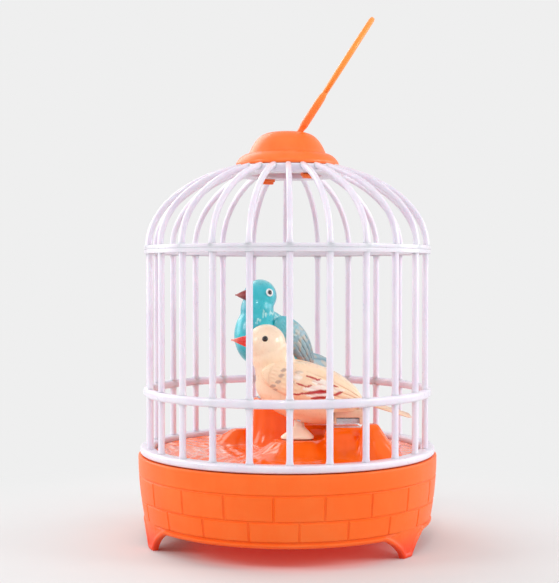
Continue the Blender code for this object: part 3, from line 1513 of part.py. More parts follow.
def build_case_screws():
    head_bottom = COVER_BOTTOM - GAP - SCREW_HEAD_HEIGHT
    for number, angle in enumerate(foot_angles(), 1):
        place = around(BOSS_CIRCLE, angle, head_bottom)
        length = LOWER_LEDGE_BOTTOM + BOSS_HEIGHT - WALL - GAP - head_bottom
        made = screw(f"case_screw_{number}", place, CASE_SCREW_HEAD, CASE_SCREW_RADIUS, length)
        recess(made, CASE_SCREW_HEAD)
    ear_bottom = COVER_BOTTOM - GAP - DOOR_EAR_THICKNESS
    place = (DOOR_SCREW_X, DOOR_SCREW_Y, ear_bottom - GAP - SCREW_HEAD_HEIGHT)
    made = screw("battery_door_screw", place, CASE_SCREW_HEAD, CASE_SCREW_RADIUS, DOOR_SCREW_LENGTH)
    recess(made, CASE_SCREW_HEAD)


build_base_shell()
build_deck()
build_cage_side()
build_cage_dome()
build_cage_screws()
build_top_cap()
build_handle()
build_handle_pin()
build_bird(CREAM_BIRD, CREAM_LEG_HEIGHT)
build_bird(BLUE_BIRD, BLUE_LEG_HEIGHT)
build_electromagnet(CREAM_BIRD, "front_magnet")
build_electromagnet(BLUE_BIRD, "back_magnet")
build_bottom_cover()
build_battery_door()
build_cells()
build_contacts()
build_speaker()
build_board()
build_switch()
build_case_screws()
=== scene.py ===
"""The looks of a toy bird cage with two singing birds, over its CAD frame.

Lengths in the settings are in millimetres. The cage's axis is Z, and the photographed front
faces -Y. Angles round the cage run from the front towards +X, in degrees.
"""

import math
from dataclasses import dataclass

import bmesh
import bpy
from bpy.props import FloatProperty, FloatVectorProperty, IntProperty, PointerProperty
from mathutils import Matrix, Vector, noise


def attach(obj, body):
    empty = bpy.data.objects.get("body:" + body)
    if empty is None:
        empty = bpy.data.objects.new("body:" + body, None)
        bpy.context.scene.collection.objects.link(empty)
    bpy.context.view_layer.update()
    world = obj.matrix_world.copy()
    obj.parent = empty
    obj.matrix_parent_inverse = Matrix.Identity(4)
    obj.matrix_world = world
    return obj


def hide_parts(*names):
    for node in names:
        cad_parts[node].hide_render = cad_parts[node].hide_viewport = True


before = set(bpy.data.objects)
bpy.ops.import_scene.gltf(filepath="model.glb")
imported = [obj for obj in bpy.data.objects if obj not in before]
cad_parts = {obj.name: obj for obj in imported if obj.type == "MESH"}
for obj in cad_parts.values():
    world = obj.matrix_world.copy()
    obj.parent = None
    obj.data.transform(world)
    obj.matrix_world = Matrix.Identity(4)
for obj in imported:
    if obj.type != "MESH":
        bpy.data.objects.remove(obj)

bl_info = {
    "name": "Singing bird cage",
    "version": (1, 0, 0),
    "blender": (4, 5, 0),
    "location": "3D View > Sidebar > Bird cage",
    "description": "Builds the visible pieces of a toy bird cage with two singing birds",
    "category": "Object",
}

MM = 0.001
SHARP_ANGLE = 38.0  # an edge that bends more than this, in degrees, is shaded as a corner
SKIN_ANGLE = 50.0  # the same for the melted skins of the deck and the birds
FEATHER_ANGLE = 60.0  # the same for wings and tails
SAME_POINT = 0.002  # points nearer to each other than this, in millimetres, become one


# Settings


def length(name, default, description):
    """A length in millimetres."""
    return FloatProperty(name=name, default=default, description=description, unit="NONE", precision=2)


def degrees(name, default, description):
    """An angle in degrees."""
    return FloatProperty(name=name, default=default, description=description, unit="NONE", precision=1)


def colour(name, default, description):
    """A colour as red, green and blue from 0 to 255, as a screen shows it."""
    return FloatVectorProperty(
        name=name, default=linear(*default), description=description, subtype="COLOR", min=0.0, max=1.0
    )


def linear(red, green, blue):
    """The scene's value of a screen colour from 0 to 255."""
    made = []
    for part in (red, green, blue):
        share = part / 255
        made.append(share / 12.92 if share <= 0.04045 else ((share + 0.055) / 1.055) ** 2.4)
    return tuple(made)


class BaseSettings(bpy.types.PropertyGroup):
    """Sizes and colours of the bowl that the cage stands on."""

    rim_radius: length("Rim radius", 56.0, "Outer radius at the rim")
    draw_in: length("Draw in", 2.6, "How much smaller the radius is at the skirt")
    top: length("Top", 32.7, "Height of the rim")
    skirt_edge: length("Skirt edge", 7.7, "Height of the skirt's edge between the feet")
    wall: length("Wall", 2.0, "Thickness of the wall")
    brick_count: IntProperty(name="Bricks", default=20, description="Bricks in a course")
    brick_phase: degrees("Brick phase", -4.8, "Angle of a joint of the upper course")
    course_top: length("Course top", 25.6, "Height of the joint over the upper course")
    course_middle: length("Course middle", 16.7, "Height of the joint between the courses")
    course_bottom: length("Course bottom", 9.6, "Height of the joint under the lower course")
    joint_width: length("Joint width", 1.1, "Width of the joints between bricks")
    joint_depth: length("Joint depth", 0.45, "Depth of the joints between bricks")
    foot_phase: degrees("Foot phase", 52.5, "Angle of the first foot")
    foot_width: length("Foot width", 5.3, "Width of a foot at the floor")
    foot_spread: length("Foot spread", 26.0, "Width of a foot where it runs into the skirt")
    orange: colour("Orange", (255, 105, 20), "Moulded orange plastic")
    # painted shade: the deeper red that the skirt is shaded towards near its bottom
    painted_shade_orange: colour("Deep orange", (236, 56, 24), "The plastic where it is thin and low")


class CageSettings(bpy.types.PropertyGroup):
    """Sizes and colours of the white cage."""

    bar_count: IntProperty(name="Bars", default=24, description="Bars, and ribs of the dome")
    bar_phase: degrees("Bar phase", 0.9, "Angle of the first bar")
    bar_circle: length("Bar circle", 52.2, "Radius of the circle that the bars stand on")
    bar_width: length("Bar width", 2.3, "Width of a bar")
    bar_depth: length("Bar depth", 2.2, "Depth of a bar")
    dome_radius: length("Dome radius", 53.7, "Outer radius of the dome at its foot")
    dome_rise: length("Dome rise", 32.7, "Height of the dome's ellipse")
    dome_spring: length("Dome spring", 110.1, "Height where the dome's ribs start")
    rib_width: length("Rib width", 2.1, "Width of a rib")
    rib_end: length("Rib end", 20.0, "Radius where the ribs end")
    white: colour("White", (227, 224, 234), "Milky plastic")
    shade: colour("Shade", (221, 214, 229), "The plastic where it is thick")


class CapSettings(bpy.types.PropertyGroup):
    """Sizes and colours of the hat and its carrying loop."""

    top: length("Top", 153.2, "Height of the cap's top")
    brim_bottom: length("Brim bottom", 140.1, "Height of the brim's edge")
    brim_radius: length("Brim radius", 19.4, "Radius of the brim")
    crown_radius: length("Crown radius", 14.6, "Radius of the crown")
    rise: length("Rise", 8.3, "Height of the crown over the brim")
    wall: length("Wall", 1.6, "Thickness of the cap")
    turn: degrees("Turn", 3.2, "How far the cap is turned on the collar")
    tilt: degrees("Tilt", 32.7, "How far the carrying loop leans")
    stem: length("Stem", 10.7, "Length of the loop's thin stem")
    neck: length("Neck", 14.9, "Length of the loop's thick neck")
    loop: length("Loop", 34.7, "Length of the loop itself")
    loop_width: length("Loop width", 25.0, "Width of the loop")
    loop_rail: length("Loop rail", 3.8, "Width of the loop's rail")
    loop_thickness: length("Loop thickness", 2.1, "Thickness of the loop")
    orange: colour("Orange", (255, 110, 18), "Moulded orange plastic")
    # painted light: the lighter orange that the thin loop is lightened towards
    painted_light_orange: colour("Light orange", (255, 152, 52), "The thin loop's lighter plastic")


class DeckSettings(bpy.types.PropertyGroup):
    """Sizes and colours of the floor in the cage."""

    top: length("Top", 34.1, "Height of the floor")
    radius: length("Radius", 49.6, "Radius of the raised floor")
    ripple: length("Ripple", 0.75, "Depth of the water's ripples")
    ripple_length: length("Ripple length", 5.4, "From one ripple to the next")
    voxel: length("Grain", 0.6, "Size of the smallest detail on the floor and the rocks")
    orange: colour("Orange", (255, 104, 8), "Glossy orange plastic")
    # painted highlight: the pale colour of the gloss streaks on the water's crests
    highlight_peach: colour("Peach", (254, 214, 198), "The plastic's lighter streaks")


class BirdSettings(bpy.types.PropertyGroup):
    """Colours of the two birds."""

    voxel: length("Grain", 0.4, "Size of the smallest detail on a bird's body")
    cream: colour("Cream", (255, 226, 193), "The front bird's plastic")
    rust: colour("Rust", (190, 30, 36), "Painted stripes on its wings")
    dab: colour("Dab", (164, 142, 136), "Painted dabs on its shoulders")
    teal: colour("Teal", (44, 197, 211), "The back bird's plastic")
    grey_teal: colour("Grey teal", (140, 176, 187), "Its wings and tail")
    tan: colour("Tan", (204, 182, 152), "Painted strokes on its wings")
    red: colour("Red", (236, 58, 50), "The front bird's beak")
    maroon: colour("Maroon", (142, 46, 52), "The back bird's beak")


class StageSettings(bpy.types.PropertyGroup):
    """The floor, the lamps and the camera."""

    floor: colour("Floor", (239, 239, 239), "Floor and background")
    distance: length("Distance", 447.6, "From the cage's axis to the camera")
    eye_height: length("Eye height", 98.46, "Height of the camera")
    lens: length("Lens", 73.11, "Focal length")
    ambient: FloatProperty(name="Ambient", default=0.78, description="Brightness of the room")
    key: FloatProperty(name="Key", default=1.24, description="Power of the lamp on the left, in watts")
    fill: FloatProperty(name="Fill", default=1.35, description="Power of the lamp on the right, in watts")
    spark: FloatProperty(name="Spark", default=0.35, description="Power of the small lamp over the camera, in watts")
    back: FloatProperty(name="Back", default=1.5, description="Power of the lamps behind, in watts")
    glow: FloatProperty(name="Glow", default=0.005, description="Red light under the base, in watts")


# Shader sums


class Wire:
    """A shader socket that takes part in sums."""

    def __init__(self, tree, socket):
        self.tree = tree
        self.socket = socket

    def node(self, kind, inputs=(), output=0, **settings):
        """Any other node, with its inputs by name or number and its settings."""
        made = self.tree.nodes.new(kind)
        for key, value in settings.items():
            setattr(made, key, value)
        for key, value in dict(inputs).items():
            place = made.inputs[key]
            if isinstance(value, Wire):
                self.tree.links.new(value.socket, place)
            else:
                place.default_value = value
        return Wire(self.tree, made.outputs[output])

    def maths(self, operation, *values, clamp=False):
        """A sum of this value and the others."""
        return self.node("ShaderNodeMath", enumerate((self, *values)), operation=operation, use_clamp=clamp)

    def __add__(self, other):
        return self.maths("ADD", other)

    __radd__ = __add__

    def __mul__(self, other):
        return self.maths("MULTIPLY", other)

    def clamp(self):
        return self.maths("ADD", 0.0, clamp=True)

    def step(self, low, high, to_low=0.0, to_high=1.0):
        """A soft step of this value from one range to the other."""
        inputs = {"Value": self, "From Min": low, "From Max": high, "To Min": to_low, "To Max": to_high}
        return self.node("ShaderNodeMapRange", inputs, interpolation_type="SMOOTHSTEP")

    def part(self, axis):
        """The X, Y or Z of a vector."""
        return self.node("ShaderNodeSeparateXYZ", {0: self}, output=axis)

    def scaled(self, x, y, z):
        return self.node("ShaderNodeMapping", {"Vector": self, "Scale": (x, y, z)})

    def spots(self, size, detail=2.0, roughness=0.5, stretch=(1, 1, 1)):
        """Noise whose spots are this many millimetres across."""
        inputs = {"Vector": self.scaled(*stretch), "Scale": 1 / size, "Detail": detail, "Roughness": roughness}
        return self.node("ShaderNodeTexNoise", inputs)

    def cells(self, size, stretch, feature):
        """A cell pattern whose cells are this many millimetres across."""
        inputs = {"Vector": self.scaled(*stretch), "Scale": 1 / size}
        return self.node("ShaderNodeTexVoronoi", inputs, feature=feature)

    def blend(self, first, second):
        """Between two colours, by this value."""
        colours = [part if isinstance(part, Wire) else (*part, 1.0) for part in (first, second)]
        inputs = {0: self, 6: colours[0], 7: colours[1]}
        return self.node("ShaderNodeMix", inputs, output=2, data_type="RGBA")


def object_place(tree):
    """The place on the object, in millimetres."""
    return Wire(tree, tree.nodes.new("ShaderNodeTexCoord").outputs["Object"]).scaled(1 / MM, 1 / MM, 1 / MM)


class Paint:
    """A Principled material under way."""

    def __init__(self, name, roughness, **constants):
        self.material = bpy.data.materials.new(name)
        self.material.use_nodes = True
        self.tree = self.material.node_tree
        self.shader = self.tree.nodes["Principled BSDF"]
        for key, value in {"roughness": roughness, **constants}.items():
            self.shader.inputs[key.replace("_", " ").title().replace("Ior", "IOR")].default_value = value
        self.place = object_place(self.tree)

    def feed(self, name, wire):
        """Links a wire to one of the shader's inputs."""
        self.tree.links.new(wire.socket, self.shader.inputs[name])
        return self

    def tinted(self, share, tint):
        """Lays a tint over the colour so far."""
        under = Wire(self.tree, self.shader.inputs["Base Color"].links[0].from_socket)
        return self.feed("Base Color", share.blend(under, tint))

    def relief(self, height, distance):
        """Bump from a height between 0 and 1, this many millimetres deep."""
        inputs = {"Height": height, "Distance": distance * MM, "Strength": 1.0}
        return self.feed("Normal", height.node("ShaderNodeBump", inputs))


# Materials


ORANGE_DEPTH = {"subsurface_radius": (3.0, 0.9, 0.3), "subsurface_scale": MM}


def lighter(tint, gain, lift):
    return [min(1.0, part * gain + lift) for part in tint]


def moulded(name, main, second, roughness, depth, spread=18.0, **constants):
    """Moulded plastic: slow changes of colour, faint flow marks and a fine grain."""
    paint = Paint(name, roughness, **constants)
    slow = paint.place.spots(spread, 3.0, 0.55)
    flow = paint.place.spots(2.6, 4.0, 0.6, (1, 1, 0.35))
    paint.feed("Base Color", (slow * 0.75 + flow * 0.25).step(0.38, 0.72).blend(main, second))
    grain = paint.place.spots(0.9, 2.0, 0.5)
    paint.feed("Roughness", (grain * 0.5 + flow * 0.5).step(0.2, 0.8, roughness - 0.06, roughness + 0.09))
    return paint.relief(grain * 0.3 + flow * 0.7, depth)


def bowl_material(s):
    """The bowl's orange, with painted shade that makes it deeper and redder towards the bottom of the skirt."""
    look = {"specular_ior_level": 0.32, "coat_weight": 0.06, "subsurface_weight": 0.15, **ORANGE_DEPTH}
    paint = moulded("bowl_orange", s.orange, lighter(s.orange, 1.12, 0.012), 0.42, 0.06, **look)
    # painted shade: deeper and redder towards the bottom of the skirt
    low = paint.place.part("Z").step(11.5, 1.5)
    return paint.tinted(low * 0.85, s.painted_shade_orange).material


def cap_material(s):
    """The cap's orange, with painted light that makes it lighter and yellower up in the thin loop."""
    look = {"specular_ior_level": 0.5, "coat_weight": 0.15, "subsurface_weight": 0.1, **ORANGE_DEPTH}
    paint = moulded("cap_orange", s.orange, lighter(s.orange, 1.15, 0.02), 0.42, 0.025, 14.0, **look)
    # painted light: lighter and yellower higher up, in the loop
    high = paint.place.part("Z").step(156.0, 176.0)
    return paint.tinted(high * 0.9, s.painted_light_orange).material


def cage_material(s):
    """Milky plastic that lets a little light through."""
    look = {"coat_weight": 0.3, "coat_roughness": 0.08, "subsurface_weight": 0.45}
    depth = {"subsurface_radius": (2.4, 1.7, 1.9), "subsurface_scale": MM}
    return moulded("milky_white", s.white, s.shade, 0.3, 0.025, 11.0, **look, **depth).material


def deck_material(s):
    """Glossy orange, with painted highlights: pale streaks along the crests of the water on the left."""
    paint = Paint("deck_orange", 0.24, specular_ior_level=0.1, coat_weight=0.65, coat_roughness=0.05)
    height = paint.place.part("Z")
    streak = paint.place.spots(2.6, 3.0, 0.6, (0.45, 1, 0.4))
    slow = paint.place.spots(15.0, 2.0)
    # painted highlight along the ripples' crests, strongest on the left
    crest = height.step(33.55, 33.95) * height.step(35.0, 34.3)
    left = paint.place.part("X").step(8.0, -14.0)
    light = (crest * streak.step(0.47, 0.58) * slow.step(0.36, 0.58) * (0.04 + left * 0.82)).clamp()
    paint.feed("Base Color", light.blend(s.orange, s.highlight_peach))
    grain = paint.place.spots(1.4, 4.0, 0.6)
    paint.feed("Roughness", grain.step(0.3, 0.75, 0.14, 0.28))
    return paint.relief(grain * 0.5 + streak * 0.5, 0.1).material


def feathered(name, roughness=0.3, depth=0.13, size=2.4):
    """Painted plastic: its colour is the mesh's own paint, its relief small feathers."""
    look = {"coat_weight": 0.5, "coat_roughness": 0.06, "subsurface_weight": 0.08, "subsurface_scale": MM}
    paint = Paint(name, roughness, **look)
    coat = paint.place.node("ShaderNodeAttribute", attribute_name="paint")
    brush = paint.place.spots(0.9, 4.0, 0.65, (1, 1, 0.5))
    worn = paint.place.spots(5.0, 3.0)
    shade = coat.node("ShaderNodeVectorMath", {0: coat, 1: (0.95, 0.94, 0.93)}, operation="MULTIPLY")
    paint.feed("Base Color", (brush * 0.5 + worn * 0.5).step(0.3, 0.75).blend(shade, coat))
    feathers = paint.place.cells(size, (1.0, 1.0, 0.55), "SMOOTH_F1")
    paint.feed("Roughness", brush.step(0.25, 0.75, roughness - 0.06, roughness + 0.12))
    return paint.relief(feathers * 0.75 + brush * 0.25, depth).material


def metal(name, tint, roughness, grain=(1, 1, 8)):
    """Bright metal with drawing marks along one way."""
    paint = Paint(name, roughness, metallic=1.0)
    marks = paint.place.spots(0.5, 3.0, 0.6, grain)
    soil = paint.place.spots(3.0, 3.0)
    darker = [part * 0.72 for part in tint]
    paint.feed("Base Color", (soil * 0.6 + marks * 0.4).step(0.35, 0.65).blend(darker, tint))
    paint.feed("Roughness", marks.step(0.2, 0.8, roughness - 0.08, roughness + 0.14))
    return paint.relief(marks, 0.03).material


def winding_material():
    """Enamelled wire, one turn over the other."""
    paint = Paint("enamelled_wire", 0.3, metallic=0.85, coat_weight=0.5)
    rows = (paint.place.part("Z") * 14.0).maths("SINE") * 0.5 + 0.5
    lay = paint.place.spots(1.5, 3.0)
    paint.feed("Base Color", (rows * 0.7 + lay * 0.3).blend(linear(150, 70, 34), linear(226, 150, 92)))
    return paint.relief(rows, 0.15).material


def board_material():
    """Solder mask over copper tracks."""
    paint = Paint("solder_mask", 0.35, coat_weight=0.4)
    across = paint.place.cells(2.6, (1, 0.25, 1), "DISTANCE_TO_EDGE").step(0.08, 0.03)
    along = paint.place.cells(3.8, (0.3, 1, 1), "DISTANCE_TO_EDGE").step(0.07, 0.03)
    tracks = across.maths("MAXIMUM", along)
    paint.feed("Base Color", tracks.blend(linear(18, 92, 48), linear(62, 142, 76)))
    return paint.relief(tracks, 0.08).material


def paper_material():
    """Pressed black paper with fibres."""
    paint = Paint("cone_paper", 0.85)
    fibres = paint.place.spots(0.4, 5.0, 0.7, (1, 0.4, 1))
    blots = paint.place.spots(3.0)
    paint.feed("Base Color", (fibres * 0.6 + blots * 0.4).blend(linear(34, 33, 32), linear(84, 82, 78)))
    return paint.relief(fibres, 0.12).material


def cell_material():
    """A film jacket with a coloured band towards the positive end, bare of any text."""
    paint = Paint("cell_jacket", 0.25, coat_weight=0.5)
    along = paint.place.part("X")
    band = along.step(9.0, 9.6)
    crinkle = paint.place.spots(2.2, 4.0)
    body = crinkle.blend(linear(24, 50, 128), linear(38, 72, 164))
    paint.feed("Base Color", band.blend(body, linear(206, 150, 66)))
    paint.feed("Metallic", band * 0.7)
    return paint.relief(crinkle, 0.06).material


# Meshes


class Shape:
    """Closed shells gathered into one mesh, in millimetres."""

    def __init__(self):
        self.points = []
        self.faces = []

    def add(self, points, faces):
        start = len(self.points)
        self.points += [tuple(point) for point in points]
        self.faces += [[start + corner for corner in face] for face in faces]

    def tube(self, loops, ends=True):
        """Skin over loops of equally many points, with flat ends."""
        count = len(loops[0])
        faces = []
        for low in range(0, (len(loops) - 1) * count, count):
            high = low + count
            for i in range(count):
                j = (i + 1) % count
                faces.append((low + i, low + j, high + j, high + i))
        if ends:
            faces.append(tuple(range(count)))
            faces.append(tuple(range((len(loops) - 1) * count, len(loops) * count)))
        self.add([point for loop in loops for point in loop], faces)

    def turned(self, profile, steps=144, closed=True):
        """A profile of (radius, height) turned about Z."""
        loops = [circle(radius, height, steps) for radius, height in profile]
        self.tube([*loops, loops[0]] if closed else loops, ends=False)

    def take(self, shape, matrix):
        """Adds a bmesh, moved by the matrix if there is one, and frees it."""
        if matrix:
            bmesh.ops.transform(shape, matrix=matrix, verts=shape.verts)
        shape.verts.index_update()
        self.add([v.co.copy() for v in shape.verts], [[v.index for v in f.verts] for f in shape.faces])
        shape.free()

    def block(self, low, high, edge, matrix=None):
        """A box with rounded edges."""
        low, high = Vector(low), Vector(high)
        shape = bmesh.new()
        bmesh.ops.create_cube(shape, size=1)
        bmesh.ops.scale(shape, vec=high - low, verts=shape.verts)
        bmesh.ops.translate(shape, vec=(low + high) / 2, verts=shape.verts)
        bmesh.ops.bevel(
            shape, geom=shape.edges[:], offset=edge, segments=3, profile=0.5, affect="EDGES", clamp_overlap=True
        )
        self.take(shape, matrix)

    def ball(self, centre, radii, tilt=0.0, segments=40, rings=28):
        """An ellipsoid whose +X end dips by tilt degrees."""
        shape = bmesh.new()
        bmesh.ops.create_uvsphere(shape, u_segments=segments, v_segments=rings, radius=1)
        size = Matrix.Diagonal(Vector(radii)).to_4x4()
        self.take(shape, Matrix.Translation(centre) @ rotation(tilt, "Y") @ size)

    def object(self, name, matrix=None, sharp=SHARP_ANGLE):
        """The mesh as an object in the scene, in metres."""
        mesh = bpy.data.meshes.new(name)
        mesh.from_pydata(self.points, [], self.faces)
        shape = bmesh.new()
        shape.from_mesh(mesh)
        bmesh.ops.remove_doubles(shape, verts=shape.verts, dist=SAME_POINT)
        bmesh.ops.dissolve_degenerate(shape, edges=shape.edges, dist=SAME_POINT / 10)
        bmesh.ops.recalc_face_normals(shape, faces=shape.faces)
        if matrix:
            bmesh.ops.transform(shape, matrix=matrix, verts=shape.verts)
        bmesh.ops.scale(shape, vec=(MM, MM, MM), verts=shape.verts)
        shape.to_mesh(mesh)
        shape.free()
        smooth(mesh, sharp)
        return placed(name, mesh)


def placed(name, data):
    """A new object in the scene."""
    obj = bpy.data.objects.new(name, data)
    bpy.context.scene.collection.objects.link(obj)
    return obj


def smooth(mesh, sharp=SHARP_ANGLE):
    mesh.shade_smooth()
    mesh.set_sharp_from_angle(angle=math.radians(sharp))


def block_object(name, low, high, edge, matrix=None):
    """A box with rounded edges as an object of its own."""
    shape = Shape()
    shape.block(low, high, edge, matrix)
    return shape.object(name)


def tube_object(name, loops, matrix=None, sharp=SHARP_ANGLE, ends=True):
    """A skin over loops as an object of its own."""
    shape = Shape()
    shape.tube(loops, ends)
    return shape.object(name, matrix, sharp)


def rotation(angle, axis):
    return Matrix.Rotation(math.radians(angle), 4, axis)


def turns(count, start=0.0):
    """The cosine and sine of evenly spaced turns."""
    angles = [2 * math.pi * (i + start) / count for i in range(count)]
    return [(math.cos(angle), math.sin(angle)) for angle in angles]


def circle(radius, height, count):
    return [(radius * c, radius * d, height) for c, d in turns(count)]


def signed_power(value, power):
    return math.copysign(abs(value) ** power, value)


def oval(half_x, half_y, power, count):
    """A loop between an ellipse (power 2) and a rectangle (high power)."""
    return [
        (signed_power(c, 2 / power) * half_x, signed_power(d, 2 / power) * half_y) for c, d in turns(count, 0.5)
    ]


def soft_box(inner, outer, bottom, top, edge):
    """A ring's profile with rounded corners."""
    steps = 4
    corners = [
        (outer - edge, top - edge, 90, 0),
        (outer - edge, bottom + edge, 0, -90),
        (inner + edge, bottom + edge, -90, -180),
        (inner + edge, top - edge, 180, 90),
    ]
    points = []
    for radius, height, first, last in corners:
        for i in range(steps + 1):
            turn = math.radians(first + (last - first) * i / steps)
            points.append((radius + edge * math.cos(turn), height + edge * math.sin(turn)))
    return points


def around(radius, angle, z):
    """A point at this angle from the front."""
    turn = math.radians(angle)
    return (radius * math.sin(turn), -radius * math.cos(turn), z)


def soft(value, low, high):
    """A soft step from 0 at low to 1 at high."""
    share = min(1.0, max(0.0, (value - low) / (high - low)))
    return share * share * (3 - 2 * share)


def swell(value, mark, height, width):
    """A bell-shaped rise at the mark."""
    return height * math.exp(-(((value - mark) / width) ** 2))


def between(first, second, share):
    """A point or a colour between two others."""
    return tuple(a + (b - a) * share for a, b in zip(first, second))


# Rings of copies


def ring_tree():
    """Copies of a mesh turned evenly about Z, made one."""
    tree = bpy.data.node_groups.new("ring_of_copies", "GeometryNodeTree")
    kinds = {"Geometry": "Geometry", "Count": "Int", "Phase": "Float", "Merge Distance": "Float"}
    for name, kind in {**kinds, "Material": "Material"}.items():
        tree.interface.new_socket(name, in_out="INPUT", socket_type=f"NodeSocket{kind}")
    tree.interface.new_socket("Geometry", in_out="OUTPUT", socket_type="NodeSocketGeometry")

    def node(kind, operation=None):
        made = tree.nodes.new(kind)
        if operation:
            made.operation = operation
        return made

    inputs = node("NodeGroupInput")
    points = node("GeometryNodePoints")
    index = node("GeometryNodeInputIndex")
    share = node("ShaderNodeMath", "DIVIDE")
    full = node("ShaderNodeMath", "MULTIPLY_ADD")
    full.inputs[1].default_value = 2 * math.pi
    axis = node("ShaderNodeCombineXYZ")
    turn = node("FunctionNodeEulerToRotation")
    copies = node("GeometryNodeInstanceOnPoints")
    real = node("GeometryNodeRealizeInstances")
    weld = node("GeometryNodeMergeByDistance")
    cover = node("GeometryNodeSetMaterial")
    output = node("NodeGroupOutput")
    links = [
        (inputs, "Count", points, "Count"),
        (index, 0, share, 0),
        (inputs, "Count", share, 1),
        (share, 0, full, 0),
        (inputs, "Phase", full, 2),
        (full, 0, axis, "Z"),
        (axis, 0, turn, 0),
        (points, 0, copies, "Points"),
        (inputs, "Geometry", copies, "Instance"),
        (turn, 0, copies, "Rotation"),
        (copies, 0, real, 0),
        (real, 0, weld, 0),
        (inputs, "Merge Distance", weld, "Distance"),
        (weld, 0, cover, 0),
        (inputs, "Material", cover, "Material"),
        (cover, 0, output, 0),
    ]
    for source, socket, target, place in links:
        tree.links.new(source.outputs[socket], target.inputs[place])
    return tree


def applied(obj):
    """Makes the object's modifiers part of its mesh, and returns the new mesh."""
    bpy.context.view_layer.update()
    graph = bpy.context.evaluated_depsgraph_get()
    mesh = bpy.data.meshes.new_from_object(obj.evaluated_get(graph))
    obj.modifiers.clear()
    old, obj.data = obj.data, mesh
    bpy.data.meshes.remove(old)
    return mesh


def copied_round(obj, count, phase, material):
    """Turns the object's mesh into a ring of copies of it."""
    tree = bpy.data.node_groups.get("ring_of_copies") or ring_tree()
    modifier = obj.modifiers.new("copies", "NODES")
    modifier.node_group = tree
    values = {"Count": count, "Phase": math.radians(phase), "Merge Distance": 0.02 * MM, "Material": material}
    for item in tree.interface.items_tree:
        if item.item_type == "SOCKET" and item.in_out == "INPUT" and item.name in values:
            modifier[item.identifier] = values[item.name]
    obj.update_tag()
    mesh = applied(obj)
    shape = bmesh.new()
    shape.from_mesh(mesh)
    bmesh.ops.recalc_face_normals(shape, faces=shape.faces)
    shape.to_mesh(mesh)
    shape.free()
    smooth(mesh)
    return obj


def joined(name, objects):
    """Several objects' meshes as one."""
    shape = bmesh.new()
    for obj in objects:
        shape.from_mesh(obj.data)
    mesh = bpy.data.meshes.new(name)
    shape.to_mesh(mesh)
    shape.free()
    for obj in objects:
        bpy.data.objects.remove(obj)
    smooth(mesh)
    return placed(name, mesh)


def carve(obj, *tools, sharp=SHARP_ANGLE):
    """Takes the tools' meshes from the object, and removes the tools."""
    for tool in tools:
        modifier = obj.modifiers.new("carve", "BOOLEAN")
        modifier.operation = "DIFFERENCE"
        modifier.solver = "EXACT"
        modifier.object = tool
    smooth(applied(obj), sharp)
    for tool in tools:
        bpy.data.objects.remove(tool)
    return obj


def skinned(obj, voxel, factor, iterations):
    """Melts the object's overlapping shells into one skin and softens it."""
    skin = obj.modifiers.new("skin", "REMESH")
    skin.mode = "VOXEL"
    skin.voxel_size = voxel * MM
    relax = obj.modifiers.new("relax", "SMOOTH")
    relax.factor = factor
    relax.iterations = iterations
    smooth(applied(obj), SKIN_ANGLE)
    return obj


def settle(obj, body, material, slot, *nodes):
    """Puts a finished piece on its body in place of its CAD nodes."""
    obj.data.materials.clear()
    obj.data.materials.append(material)
    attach(obj, body)
    if nodes:
        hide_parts(*nodes)


# Base


def bowl_radius(s, z):
    """The bowl's outer radius at a height."""
    share = min(1.0, (s.top - z) / (s.top - s.skirt_edge))
    return s.rim_radius - s.draw_in * share**2


def joint(distance, s):
    """How deep a joint is at this distance from its middle."""
    return s.joint_depth * (1 - soft(abs(distance), 0.12 * s.joint_width, 0.5 * s.joint_width))


def brick_depth(s, angle, z):
    """How deep the relief is at an angle from the joint of the upper course."""
    deep = max(joint(z - level, s) for level in (s.course_top, s.course_middle, s.course_bottom))
    half = 180 / s.brick_count
    if s.course_middle < z < s.course_top:
        deep = max(deep, joint(math.radians(angle) * s.rim_radius, s))
    elif s.course_bottom < z < s.course_middle:
        deep = max(deep, joint(math.radians(half - abs(angle)) * s.rim_radius, s))
    return deep


def spaced(stops, marks, step):
    """Values between the stops, close together at the marks and at most a step apart elsewhere."""
    values = set(stops)
    for mark in marks:
        for offset in (-0.7, -0.52, -0.36, -0.22, -0.08, 0.08, 0.22, 0.36, 0.52, 0.7):
            value = mark + offset
            if stops[0] < value < stops[1]:
                values.add(round(value, 4))
    kept = sorted(values)
    filled = kept[:1]
    for value in kept[1:]:
        gap = value - filled[-1]
        parts = max(1, math.ceil(gap / step))
        filled += [filled[-1] + gap * i / parts for i in range(1, parts)]
        filled.append(value)
    return filled


def brick_sector(s):
    """One brick's width of the bowl's wall, with half a brick of the lower course on each side."""
    arc = math.radians(180 / s.brick_count) * s.rim_radius
    columns = [math.degrees(x / s.rim_radius) for x in spaced((-arc, arc), (-arc, 0.0, arc), 1.4)]
    low = s.course_bottom - 0.75
    outer, inner = 0.5, 0.3  # how far the rim's edges are rounded
    levels = spaced((low, s.top - outer), (s.course_bottom, s.course_middle, s.course_top), 1.2)
    inside = s.rim_radius - s.wall
    loops = []
    for angle in columns:
        loop = [around(bowl_radius(s, z) - brick_depth(s, angle, z), angle, z) for z in levels]
        for i in range(1, 5):
            turn = math.pi / 2 * i / 4
            radius = s.rim_radius - outer + outer * math.cos(turn)
            loop.append(around(radius, angle, s.top - outer + outer * math.sin(turn)))
        loop.append(around(inside + inner, angle, s.top))
        loop.append(around(inside, angle, s.top - inner))
        for i in range(1, 7):
            z = s.top - inner + (low - s.top + inner) * i / 6
            loop.append(around(bowl_radius(s, z) - s.wall, angle, z))
        loops.append(loop)
    return tube_object("brick_wall", loops, ends=False)


def foot_edge(s, x):
    """The skirt's lower edge at this distance along it from a foot's middle."""
    x = abs(x)
    near, far = s.foot_width / 2, s.foot_spread / 2
    if x <= near:
        return 0.0
    if x >= far:
        return s.skirt_edge
    share = (far - x) / (far - near)
    return s.skirt_edge * max(0.0, 1 - share ** (4 / 3)) ** 0.75


